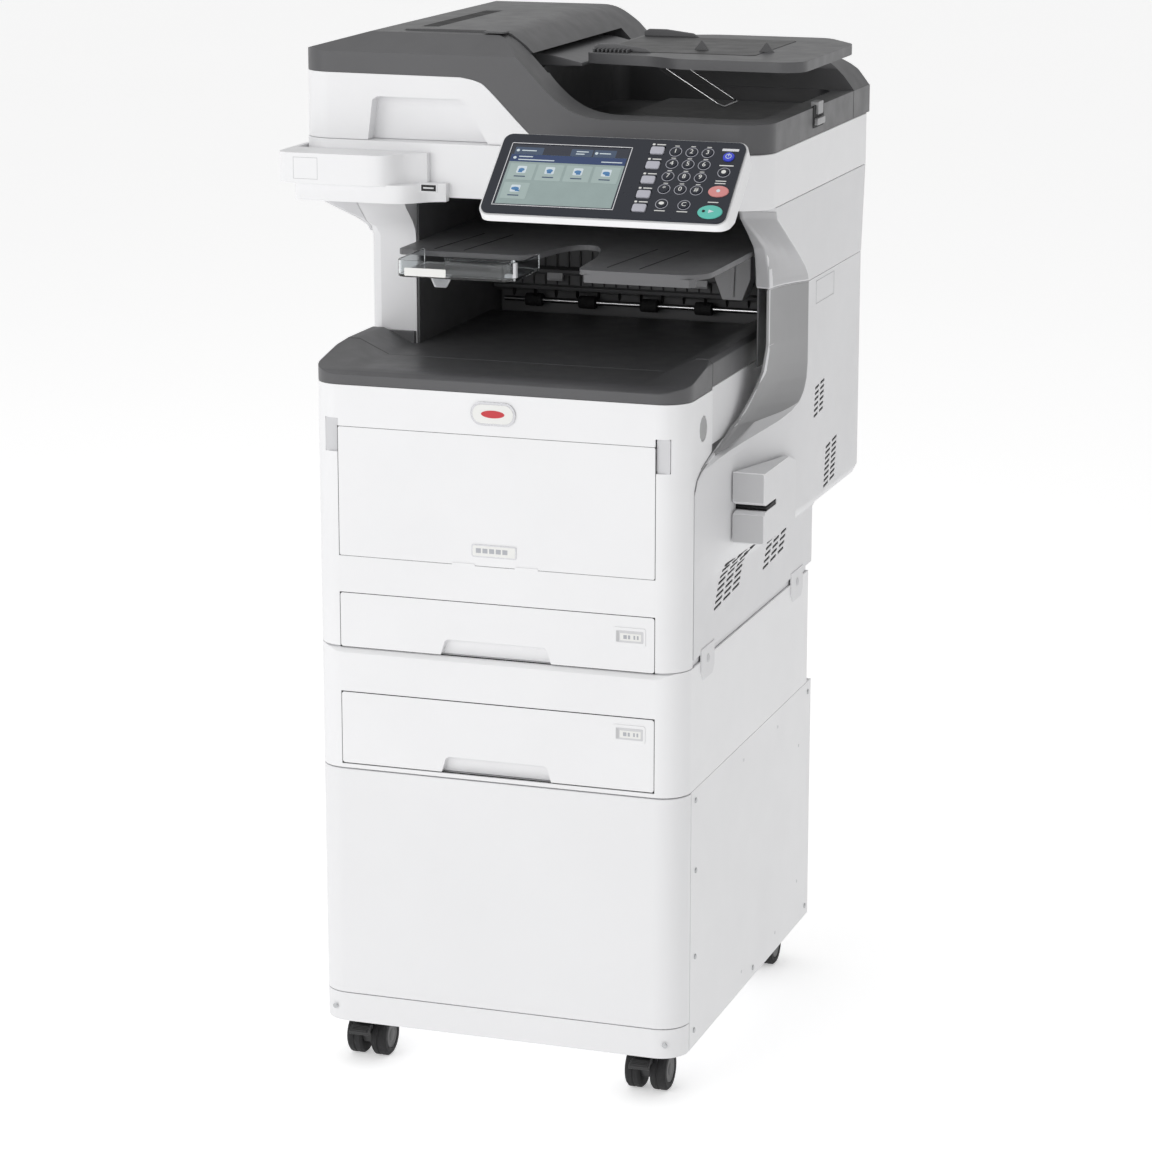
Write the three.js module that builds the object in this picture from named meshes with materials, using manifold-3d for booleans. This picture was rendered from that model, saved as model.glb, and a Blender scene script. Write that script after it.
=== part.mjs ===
// A floor-standing colour photocopier: a cabinet on twin-wheel casters, an extra paper tray unit,
// the print engine, and a scanner with a document feeder carried on two columns.
// Millimetres, +Z up, front towards -Y. The drawing frame below has x = 0 at the middle of the
// print engine, y = 0 at its front face and z = 0 at the underside of the cabinet. The exported
// group is shifted so that the origin is at the bottom centre of the whole machine.

import * as THREE from 'three';
import { mergeVertices } from 'three/addons/utils/BufferGeometryUtils.js';
import Module from 'manifold-3d';

const wasm = await Module();
wasm.setup();

// ---------------------------------------------------------------- driving dimensions

const GAP = 0.4; // between pieces that touch
const WALL = 3; // moulded covers
const SHEET = 2.5; // cabinet sheet metal
const CORNER = 34; // radius of the front vertical edges
const HALF = 224.5; // half the width of cabinet, tray unit and engine
const OUTER = 281.5; // half the width of scanner and feeder

const floorDrop = 57; // cabinet underside above the floor
const cabinet = { top: 314, back: 555, doorLow: 36, doorDepth: 34 };
const trayUnit = { low: 314.5, top: 460.5, back: 534, frontTop: 452 };
const engine = { low: 461.5, side: 469.5, top: 769, back: 551 };
const drawer = { half: 190.2, depth: 455, thick: 16 };
const bypass = { low: 569.6, top: 720.6 };
const seamY = 105; // where the front cover ends on the sides
const lip = { low: 769.4, front: 781, floor: 787, top: 804 };
const bay = { left: -165, right: 238, back: 474 };
const neck = { low: 772.4, seam: 866, top: 971 };
const scanner = { low: 971.5, top: 1033.5, front: 114, back: 563, corner: 40 };
const feeder = { low: 1034, edge: 1134, top: 1156, peak: 1162, front: 118, back: 576 };
const panel = { width: 278, height: 117, lean: 39.8, x: 148, y: -25, z: 1023 };
const wheel = { radius: 25, width: 18, gap: 7, axleDrop: 32, trail: 18 };
const panelRim = 2.5; // the white rim around the panel's glass
const panelGlass = 2; // thickness of the panel's dark face

const lean = THREE.MathUtils.degToRad(panel.lean);
const frontMost = panel.y - (panel.height / 2 + panelRim) * Math.cos(lean)
  + (panelGlass + GAP) * Math.sin(lean);
const origin = { x: 5, y: (frontMost + feeder.back) / 2, z: -floorDrop };

// ---------------------------------------------------------------- geometry helpers

function toSolid(geometry) {
  const bare = geometry.clone();
  bare.deleteAttribute('normal');
  bare.deleteAttribute('uv');
  const merged = mergeVertices(bare, 1e-4);
  return new wasm.Manifold(new wasm.Mesh({
    numProp: 3,
    vertProperties: new Float32Array(merged.attributes.position.array),
    triVerts: new Uint32Array(merged.index.array),
  }));
}

function toGeometry(solid) {
  const mesh = solid.getMesh();
  const geometry = new THREE.BufferGeometry();
  geometry.setAttribute('position', new THREE.BufferAttribute(mesh.vertProperties, 3));
  geometry.setIndex(new THREE.BufferAttribute(mesh.triVerts, 1));
  geometry.computeVertexNormals();
  return geometry;
}

const join = (first, ...rest) => rest.reduce((whole, piece) => whole.add(piece), first);
const cut = (first, ...tools) => tools.reduce((whole, tool) => whole.subtract(tool), first);
const common = (first, ...rest) => rest.reduce((whole, piece) => whole.intersect(piece), first);

function block(x0, x1, y0, y1, z0, z1) {
  const geometry = new THREE.BoxGeometry(x1 - x0, y1 - y0, z1 - z0);
  geometry.translate((x0 + x1) / 2, (y0 + y1) / 2, (z0 + z1) / 2);
  return toSolid(geometry);
}

function extrude(shape, depth, steps = 5) {
  return new THREE.ExtrudeGeometry(shape, { depth, bevelEnabled: false, curveSegments: steps });
}

function outline(points) {
  return new THREE.Shape(points.map(([a, b]) => new THREE.Vector2(a, b)));
}

// An outline whose corners are rounded off, each starting at the given distance from its point.
function softOutline(points, radius) {
  const shape = new THREE.Shape();
  const toward = ([a, b], [c, d]) => {
    const share = Math.min(radius / Math.hypot(c - a, d - b), 0.45);
    return [a + (c - a) * share, b + (d - b) * share];
  };
  points.forEach((point, i) => {
    const before = toward(point, points[(i + points.length - 1) % points.length]);
    const after = toward(point, points[(i + 1) % points.length]);
    if (i === 0) shape.moveTo(...before);
    else shape.lineTo(...before);
    shape.quadraticCurveTo(...point, ...after);
  });
  shape.closePath();
  return shape;
}

// A smooth line through a few points, as a list of points.
function smoothLine(points, steps) {
  const curve = new THREE.SplineCurve(points.map(([a, b]) => new THREE.Vector2(a, b)));
  return curve.getPoints(steps).map(({ x, y }) => [x, y]);
}

const asShape = (shape) => (Array.isArray(shape) ? outline(shape) : shape);

// A shape drawn in (x, y), standing from z0 to z1.
function prismZ(shape, z0, z1, steps) {
  const geometry = extrude(asShape(shape), z1 - z0, steps);
  geometry.translate(0, 0, z0);
  return toSolid(geometry);
}

// A shape drawn in (y, z), running from x0 to x1.
function prismX(shape, x0, x1, steps) {
  const geometry = extrude(asShape(shape), x1 - x0, steps);
  const turn = new THREE.Matrix4().makeBasis(
    new THREE.Vector3(0, 1, 0),
    new THREE.Vector3(0, 0, 1),
    new THREE.Vector3(1, 0, 0),
  );
  geometry.applyMatrix4(turn);
  geometry.translate(x0, 0, 0);
  return toSolid(geometry);
}

// A shape drawn in (x, z), running from y0 to y1.
function prismY(shape, y0, y1, steps) {
  const geometry = extrude(asShape(shape), y1 - y0, steps);
  geometry.rotateX(Math.PI / 2);
  geometry.translate(0, y1, 0);
  return toSolid(geometry);
}

// A rectangle whose corners are rounded by radii [low-left, low-right, high-right, high-left].
function roundedRectangle(a0, a1, b0, b1, radii) {
  const [lowLeft, lowRight, highRight, highLeft] = radii;
  const shape = new THREE.Shape();
  const corner = (a, b, radius, start) => {
    if (radius > 0) {
      shape.absarc(a, b, radius, start, start + Math.PI / 2, false);
    } else {
      shape.lineTo(a, b);
    }
  };
  shape.moveTo(a0 + lowLeft, b0);
  corner(a1 - lowRight, b0 + lowRight, lowRight, -Math.PI / 2);
  corner(a1 - highRight, b1 - highRight, highRight, 0);
  corner(a0 + highLeft, b1 - highLeft, highLeft, Math.PI / 2);
  corner(a0 + lowLeft, b0 + lowLeft, lowLeft, Math.PI);
  return shape;
}

// The plan of a machine body: rounded at the front corners, square at the back.
function bodyPlan(half, front, back, radius) {
  return roundedRectangle(-half, half, front, back, [radius, radius, 0, 0]);
}

function cylinder(axis, radius, from, to, a, b, sides = 12) {
  const geometry = new THREE.CylinderGeometry(radius, radius, to - from, sides);
  const middle = (from + to) / 2;
  if (axis === 'x') {
    geometry.rotateZ(Math.PI / 2);
    geometry.translate(middle, a, b);
  } else if (axis === 'y') {
    geometry.translate(a, middle, b);
  } else {
    geometry.rotateX(Math.PI / 2);
    geometry.translate(a, b, middle);
  }
  return toSolid(geometry);
}

// A closed solid over a grid of outer points and the matching grid of inner points.
function shellSolid(outer, inner) {
  const rows = outer.length;
  const columns = outer[0].length;
  const vertices = [...outer.flat(), ...inner.flat()].flat();
  const at = (row, column, side) => (side * rows + row) * columns + column;
  const faces = [];
  const quad = (a, b, c, d) => faces.push(a, b, c, a, c, d);
  for (let r = 0; r < rows - 1; r += 1) {
    for (let c = 0; c < columns - 1; c += 1) {
      quad(at(r, c, 0), at(r, c + 1, 0), at(r + 1, c + 1, 0), at(r + 1, c, 0));
      quad(at(r, c, 1), at(r + 1, c, 1), at(r + 1, c + 1, 1), at(r, c + 1, 1));
    }
    quad(at(r, 0, 0), at(r + 1, 0, 0), at(r + 1, 0, 1), at(r, 0, 1));
    const last = columns - 1;
    quad(at(r, last, 0), at(r, last, 1), at(r + 1, last, 1), at(r + 1, last, 0));
  }
  for (let c = 0; c < columns - 1; c += 1) {
    quad(at(0, c, 0), at(0, c, 1), at(0, c + 1, 1), at(0, c + 1, 0));
    const last = rows - 1;
    quad(at(last, c, 0), at(last, c + 1, 0), at(last, c + 1, 1), at(last, c, 1));
  }
  const geometry = new THREE.BufferGeometry();
  geometry.setAttribute('position', new THREE.Float32BufferAttribute(vertices, 3));
  geometry.setIndex(faces);
  return toSolid(geometry);
}

// A solid through plans with equal point counts, stacked from low z to high z.
function loft(levels) {
  const count = levels[0].points.length;
  const vertices = levels.flatMap(({ z, points }) => points.flatMap(([x, y]) => [x, y, z]));
  const faces = [];
  levels.slice(1).forEach((level, index) => {
    for (let i = 0; i < count; i += 1) {
      const low = index * count + i;
      const next = index * count + ((i + 1) % count);
      faces.push(low, next, next + count, low, next + count, low + count);
    }
  });
  const cap = (level, offset, flip) => {
    const plan = level.points.map(([x, y]) => new THREE.Vector2(x, y));
    for (const [a, b, c] of THREE.ShapeUtils.triangulateShape(plan, [])) {
      faces.push(offset + a, offset + (flip ? c : b), offset + (flip ? b : c));
    }
  };
  cap(levels[0], 0, true);
  cap(levels[levels.length - 1], (levels.length - 1) * count, false);
  const geometry = new THREE.BufferGeometry();
  geometry.setAttribute('position', new THREE.Float32BufferAttribute(vertices, 3));
  geometry.setIndex(faces);
  return toSolid(geometry);
}

const smooth = (value) => {
  const t = Math.min(Math.max(value, 0), 1);
  return t * t * (3 - 2 * t);
};

// Straight-line reading of a table of [input, output] pairs in rising order.
function between(table, value) {
  const last = table.length - 1;
  if (value <= table[0][0]) return table[0][1];
  if (value >= table[last][0]) return table[last][1];
  const i = table.findIndex(([input]) => input > value);
  const [[a, fa], [b, fb]] = [table[i - 1], table[i]];
  return fa + ((fb - fa) * (value - a)) / (b - a);
}

// ---------------------------------------------------------------- materials and the group

const finish = (color, roughness, metalness = 0) => ({ color, roughness, metalness });
const WHITE = finish(0xe8e8ea, 0.45);
const SHELL = finish(0xdcdce0, 0.5);
const DARK = finish(0x3c3c40, 0.5);
const BLACK = finish(0x151517, 0.6);
const STEEL = finish(0xb8babd, 0.35, 0.8);
const PANEL_BLACK = finish(0x1c212b, 0.15);
const SCREEN = finish(0xbeccc8, 0.2);
const GLASS = finish(0xc8d8d8, 0.05);
const CLEAR = finish(0xdfe6e8, 0.1);
const GREY = finish(0xb9b9c2, 0.4);
const TEAL = finish(0x5ac3b4, 0.35);
const PINK = finish(0xd98c8c, 0.35);
const BLUE = finish(0x4650c8, 0.3);
const RUBBER = finish(0x202022, 0.8);

const group = new THREE.Group();
group.position.set(-origin.x, -origin.y, -origin.z);

function place(name, solid, look, parent = group) {
  const mesh = new THREE.Mesh(toGeometry(solid), new THREE.MeshStandardMaterial(look));
  mesh.name = name;
  parent.add(mesh);
}

// ---------------------------------------------------------------- cabinet

function addCabinet() {
  const { top, back, doorLow, doorDepth } = cabinet;
  const inside = HALF - SHEET - GAP;
  const sideFront = doorDepth + 1.6;
  const frontPart = prismZ(bodyPlan(HALF - 0.5, 0.5, doorDepth, CORNER - 1), 0, doorLow - 1);
  const rearPart = block(-inside, inside, doorDepth - 1, back - 1, 0, doorLow - 1);
  const well = prismZ(bodyPlan(inside - SHEET, SHEET + 1, back - 4, CORNER - 4), SHEET, doorLow);
  place('cabinet_base', cut(join(frontPart, rearPart), well), WHITE);
  for (const [name, side] of [['left', -1], ['right', 1]]) {
    const [x0, x1] = [side * (HALF - SHEET), side * HALF].sort((a, b) => a - b);
    const skin = block(x0, x1, sideFront, back, 0, top);
    place(`cabinet_${name}_side`, skin, WHITE);
  }
  const wallTop = top - SHEET - GAP;
  const rear = block(-inside, inside, back - SHEET, back, doorLow - 1 + GAP, wallTop);
  place('cabinet_back', rear, WHITE);
  place('cabinet_top', block(-inside, inside, sideFront, back, top - SHEET, top), WHITE);
  const shelf = join(
    block(-inside + GAP, inside - GAP, 70, back - SHEET - GAP, 160, 160 + SHEET),
    block(-inside + GAP, inside - GAP, 70, 70 + SHEET, 145, 160),
  );
  place('cabinet_shelf', shelf, WHITE);
  const doorTop = top - 1;
  const skin = prismZ(bodyPlan(HALF, 0, doorDepth, CORNER), doorLow, doorTop);
  const core = prismZ(bodyPlan(HALF - SHEET, SHEET, doorDepth + 1, CORNER - SHEET),
    doorLow + SHEET, doorTop - SHEET);
  const grip = block(HALF - 60, HALF - SHEET, doorDepth - 4, doorDepth, 150, 200);
  place('cabinet_door', join(cut(skin, core), grip), WHITE);
}

// ---------------------------------------------------------------- casters

function addCaster(name, x, y, braked) {
  const axleZ = -wheel.axleDrop;
  const hubY = y + wheel.trail;
  const web = wheel.gap - 1;
  const hood = new THREE.Shape();
  hood.absarc(hubY, axleZ, 17, -0.35 * Math.PI, 0.75 * Math.PI, false);
  hood.lineTo(y + 4, -6);
  hood.lineTo(y - 11, -6);
  hood.lineTo(y - 11, -12);
  hood.lineTo(hubY - 16, axleZ - 6);
  const bore = cylinder('x', 4.6, x - 20, x + 20, hubY, axleZ, 8);
  const stem = cylinder('z', 6, -8, -GAP, x, y, 10);
  const flange = cylinder('z', 15, -6.5, -4, x, y, 10);
  let fork = join(cut(prismX(hood, x - web, x + web, 6), bore), stem, flange);
  if (braked) {
    fork = join(fork, block(x - 11, x + 11, y - 20, y - 9, -16, -9));
  }
  place(`caster_${name}_fork`, fork, BLACK);
  const reach = wheel.gap + wheel.width;
  const tyre = (from, to) => cylinder('x', wheel.radius, from, to, hubY, axleZ, 16);
  const axle = cylinder('x', 4, x - reach + 1, x + reach - 1, hubY, axleZ, 8);
  const pair = join(tyre(x - reach, x - wheel.gap), tyre(x + wheel.gap, x + reach), axle);
  place(`caster_${name}_wheels`, pair, RUBBER);
}

// ---------------------------------------------------------------- paper drawers

// The front has a grip notch in its lower edge; the box behind it is open at the top.
function drawerSolid(low, high, boxHigh) {
  const { half, depth, thick } = drawer;
  const front = roundedRectangle(-half, half, low, high, [3, 3, 3, 3]);
  const notch = outline([[-67, low - 1], [-67, low], [-62, low + 16], [-58, low + 18.5],
    [58, low + 18.5], [62, low + 16], [67, low], [67, low - 1]]);
  const face = cut(prismY(front, 0, thick, 2), prismY(notch, -1, 8));
  const boxLow = low + 9;
  const box = block(-half + 12, half - 12, thick - 1, depth, boxLow, boxHigh);
  const space = block(-half + 15, half - 15, thick + 2, depth - 3, boxLow + 3, boxHigh + 1);
  return cut(join(face, box), space);
}

function addTrayUnit() {
  const { low, top, back, frontTop } = trayUnit;
  const body = prismZ(bodyPlan(HALF, 0, back, CORNER), low, top);
  const bayHalf = drawer.half + 0.7;
  const drawerBay = block(-bayHalf, bayHalf, -1, back - 20, low + 5, 407.4);
  const upperBay = block(-bayHalf, bayHalf, 30, back - 3, 411, top + 1);
  const frontStep = prismX([[-1, frontTop], [-1, top + 1], [12, top + 1], [3, top - 2]],
    -HALF - 1, HALF + 1);
  const sides = [-1, 1].map((side) => {
    const xs = [side * (bayHalf + 3), side * (HALF - WALL)].sort((a, b) => a - b);
    return block(xs[0], xs[1], 40, back - 3, low + 3, top + 1);
  });
  place('tray_unit_housing', cut(body, drawerBay, upperBay, frontStep, ...sides), WHITE);
  place('lower_drawer', drawerSolid(320.8, 406.3, 384), WHITE);
}

// ---------------------------------------------------------------- print engine

// The right side cover, at each height: where its front edge runs (depth and reach), and where the
// hollowed front face ends and the smooth bulge begins.
const sweepFront = [[660, 37.5], [676, 46], [686, 66], [695, 100], [705, 130], [712, 160],
  [725, 190], [745, 215], [770, 228], [800, 230]];
const sweepEdge = [[660, 225], [676, 226], [695, 227.5], [705, 230], [712, 232], [725, 236],
  [745, 243], [770, 250], [800, 255]];
const sweepCrease = [[660, 42], [672, 52], [684, 74], [693, 112], [706, 180], [717, 245],
  [728, 278], [745, 300], [770, 306]];
const bulgeLow = 540;
const bulgeFull = 600;
const bulgeFront = 37.5;
const bulgeBack = 306;
const hollowPower = 1.8;

function sideBulge(y, z) {
  const up = smooth((z - bulgeLow) / (bulgeFull - bulgeLow));
  const swell = (depth) => smooth((depth - bulgeFront) / (bulgeBack - bulgeFront));
  const reach = (depth) => 225 + (OUTER - 225) * swell(depth) * up;
  const front = between(sweepFront, z);
  const crease = between(sweepCrease, z);
  if (y >= crease) return reach(y);
  const edge = between(sweepEdge, z);
  const share = Math.max(y - front, 0) / (crease - front);
  return edge + (reach(crease) - edge) * share ** hollowPower;
}

function rightSideCover() {
  const heights = [engine.side, bulgeLow, 552, 564, 576, 588, bulgeFull, 630, 660, 668, 676, 684,
    690, 696, 702, 708, 714, 720, 728, 738, 752, 770, 800, neck.seam - GAP];
  const hollowShares = [0, 0.2, 0.4, 0.6, 0.8, 1];
  const bulgeShares = [0.2, 0.4, 0.6, 0.8, 1];
  const outer = [];
  const inner = [];
  for (const z of heights) {
    const front = between(sweepFront, z);
    const crease = between(sweepCrease, z);
    const depths = hollowShares.map((share) => front + share * (crease - front));
    depths.push(...bulgeShares.map((share) => crease + share * (316 - crease)), 430, 546);
    outer.push(depths.map((y) => [sideBulge(y, z), y, z]));
    inner.push(depths.map((y) => [sideBulge(y, z) - WALL, y, z]));
  }
  return shellSolid(outer, inner);
}

function addEngine() {
  const { low, side, top, back } = engine;
  const plate = 3;
  const frameHalf = HALF - 8;
  const ledgeHalf = drawer.half - 10;
  const frame = join(
    block(-frameHalf, -ledgeHalf, 42, back - 8, side + 0.5, side + 0.5 + plate),
    block(ledgeHalf, frameHalf, 42, back - 8, side + 0.5, side + 0.5 + plate),
    block(-frameHalf, frameHalf, 42, back - 8, 530, 530 + plate),
    block(-frameHalf, frameHalf, back - 8 - plate, back - 8, side + 0.5, 760),
    block(-frameHalf, -frameHalf + plate, seamY + 3, back - 8, side + 0.5, 760),
    block(frameHalf - plate, frameHalf, seamY + 3, back - 8, side + 0.5, 760),
  );
  place('engine_frame', frame, STEEL);

  const sideLine = [[37.5, side], [37.5, 660], [46, 676], [66, 686], [seamY + 0.5, 697]];
  const leftLine = [...sideLine, [seamY + 0.5, 772], [183, 772], [183, neck.low - GAP],
    [back - 4, neck.low - GAP], [back - 4, side]];
  place('left_cover', prismX(leftLine, -HALF, -HALF + WALL), SHELL);
  place('right_cover', block(HALF - WALL, HALF, seamY + 0.5, 330, 706, 772), SHELL);
  place('right_side_cover', rightSideCover(), SHELL);

  const inletHole = block(-190, -150, back - 10, back + 10, 500, 530);
  const rear = block(-HALF + WALL + GAP, HALF - WALL - GAP, back - 4, back - 1, side, neck.low);
  place('rear_cover', cut(rear, inletHole), SHELL);
  const inletRim = block(-193, -147, back - 1 + GAP, back + 2, 497, 533);
  const inletBody = block(-189, -151, back - 7, back + 1, 501, 529);
  const inletSocket = block(-184, -156, back - 5, back + 3, 506, 524);
  place('power_inlet', cut(join(inletRim, inletBody), inletSocket), BLACK);

  place('upper_drawer', drawerSolid(461.2, 525.2, 506), WHITE);
}

function addPrintUnits() {
  const drums = [110, 190, 270, 350].map((y) => cylinder('x', 30, -172, 172, y, 690, 10));
  const rails = [-1, 1].map((side) => {
    const [x0, x1] = [side * 168, side * 188].sort((a, b) => a - b);
    return block(x0, x1, 78, 385, 665, 715);
  });
  place('drum_basket', join(drums[0], ...rails, ...drums.slice(1)), BLACK);
  const belt = roundedRectangle(75, 395, 612, 644, [15.9, 15.9, 15.9, 15.9]);
  place('transfer_belt', prismX(belt, -165, 165, 4), BLACK);
  const fuser = [[430, 640], [442, 628], [505, 628], [515, 640], [515, 715], [500, 728],
    [445, 728], [430, 712]];
  place('fuser_unit', prismX(fuser, -180, 180), STEEL);
}

// ---------------------------------------------------------------- front cover and its lip

function addFrontCover() {
  const { low, top } = engine;
  const openHalf = drawer.half + 0.7;
  const depth = 36;
  const skin = prismZ(bodyPlan(HALF, 0, depth, CORNER), low, top);
  const hollow = prismZ(bodyPlan(HALF - WALL, WALL, depth + 1, CORNER - WALL),
    low + WALL, top - WALL);
  const ribs = [-1, 1].map((side) => {
    const [x0, x1] = [side * openHalf, side * (openHalf + WALL)].sort((a, b) => a - b);
    return block(x0, x1, 1.5, depth, low, top);
  });
  const flap = [[depth - 1, 664], [45, 676.8], [65, 686.8], [seamY, 698], [seamY, top],
    [depth - 1, top]];
  const flaps = [prismX(flap, -HALF, -HALF + WALL), prismX(flap, HALF - WALL, HALF)];
  const doorway = block(-openHalf, openHalf, -1, depth + 1, bypass.low - 0.5, bypass.top + 0.5);
  const drawerGap = block(-openHalf, openHalf, -1, depth + 1, low - 1, 526);
  const buttonHole = cylinder('x', 15, HALF - 10, HALF + 1, 71, 731, 12);
  const fingerCuts = [-1, 1].map((side) => {
    const [x0, x1] = [side * (openHalf - 1), side * 207].sort((a, b) => a - b);
    return block(x0, x1, -1, 12, 691, 730);
  });
  const frame = cut(join(cut(skin, hollow), ...ribs, ...flaps), doorway, drawerGap, buttonHole,
    ...fingerCuts);
  place('front_cover', frame, WHITE);

  const button = cylinder('x', 14.4, HALF - 5, HALF - 0.6, 71, 731, 12);
  const buttonStem = cylinder('x', 5, HALF - 14, HALF - 4, 71, 731, 8);
  place('release_button', join(button, buttonStem), SHELL);

  const door = prismY(roundedRectangle(-drawer.half, drawer.half, bypass.low, bypass.top,
    [2, 2, 2, 2]), 0, 20, 2);
  const doorWell = block(-drawer.half + 3, drawer.half - 3, 3, 21, bypass.low + 3, bypass.top - 3);
  place('bypass_door', cut(door, doorWell), WHITE);
}

// The output tray: raised at both sides, with a flat floor that the sheets slide on to.
function trayProfile(bottom, drop) {
  const half = HALF - drop;
  return [[-half, bottom], [-half, lip.top - 5 - drop], [-half + 5, lip.top - drop],
    [-205 - drop * 0.4, lip.top - drop], [-168 - drop * 0.4, lip.floor - drop],
    [168 + drop * 0.4, lip.floor - drop], [205 + drop * 0.4, lip.top - drop],
    [half - 5, lip.top - drop], [half, lip.top - 5 - drop], [half, bottom]];
}

function addOutputTray() {
  const frontLine = (drop) => [[drop, 700], [drop, lip.front - drop], [8, lip.front + 4 - drop],
    [seamY + 2, lip.top - drop], [seamY + 2, 700]];
  const nose = common(
    prismZ(bodyPlan(HALF, 0, seamY, CORNER), lip.low, 820),
    prismY(trayProfile(700, 0), -1, seamY + 1),
    prismX(frontLine(0), -HALF - 1, HALF + 1),
  );
  const hollow = common(
    prismZ(bodyPlan(HALF - WALL, WALL, seamY + 2, CORNER - WALL), lip.low - 1, 820),
    prismY(trayProfile(700, WALL), -1, seamY + 2),
    prismX(frontLine(WALL), -HALF - 1, HALF + 1),
  );
  place('front_cover_lip', cut(nose, hollow), DARK);

  const tray = cut(
    prismY(trayProfile(neck.low, 0), seamY + 1, 436),
    prismY(trayProfile(neck.low - 5, WALL), seamY, 437),
    block(-HALF - 1, bay.left + 3.6, 184, 440, 700, 820),
  );
  const fold = block(bay.left + 3.6, bay.left + 6.6, 184, 436, neck.low, lip.floor - 1);
  const backRail = block(-160, 215, 425, 436, neck.low, lip.floor - 1);
  place('top_cover', join(tray, fold, backRail), DARK);
}

// ---------------------------------------------------------------- paper exit and upper tray

function addExit() {
  const rollers = [-110, -40, 40, 110].map((x) => cylinder('x', 8, x - 11, x + 11, 450, 800, 12));
  place('exit_roller', join(cylinder('x', 3, -150, 196, 450, 800, 8), ...rollers), STEEL);
  const profile = [[444, 812], [434, 820], [434, 868], [bay.back - GAP, 873],
    [bay.back - GAP, 780], [466, 780], [466, 812]];
  place('exit_housing', prismX(profile, -158, 214), DARK);
  const wall = join(
    block(bay.left + GAP, bay.right - GAP, bay.back, bay.back + WALL, 774, scanner.low - 1),
    block(bay.left + GAP, bay.left + WALL, 190, bay.back + 1, 774, scanner.low - 1),
  );
  place('bay_wall', wall, DARK);

  const plan = [[-160, 270], [-160, 114], [-8, 114], [6, 130], [16, 190], [30, 215],
    [50, 215], [64, 190], [78, 130], [84, 46], [94, 38], [216, 38], [234, 60], [234, 270],
    [234, bay.back - GAP], [-160, bay.back - GAP]];
  const deck = prismZ(softOutline(plan, 12), 903, 909, 3);
  const rim = prismZ([[94, 38], [216, 38], [222, 46], [90, 46]], 895, 904);
  const bracket = prismY([[200, 848], [222, 848], [232, 890], [232, 905], [188, 905]], 400, 406);
  place('upper_tray', join(deck, rim, bracket), DARK);

  const bowl = prismZ(roundedRectangle(-127, 15, 22, 112, [14, 14, 0, 0]), 893, 912, 3);
  const hollow = prismZ(roundedRectangle(-124.5, 12.5, 24.5, 113, [11, 11, 0, 0]), 895.5, 913, 3);
  const tab = prismY([[-84, 880], [-72, 880], [-67, 894], [-89, 894]], 40, 43);
  const tongue = block(-100, -20, 108, 150, 898.5, 902.6);
  const floor = block(-100, -20, 108, 113, 893, 902);
  place('clear_tray', join(cut(bowl, hollow), tab, tongue, floor), CLEAR);
}

// ---------------------------------------------------------------- columns

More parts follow.
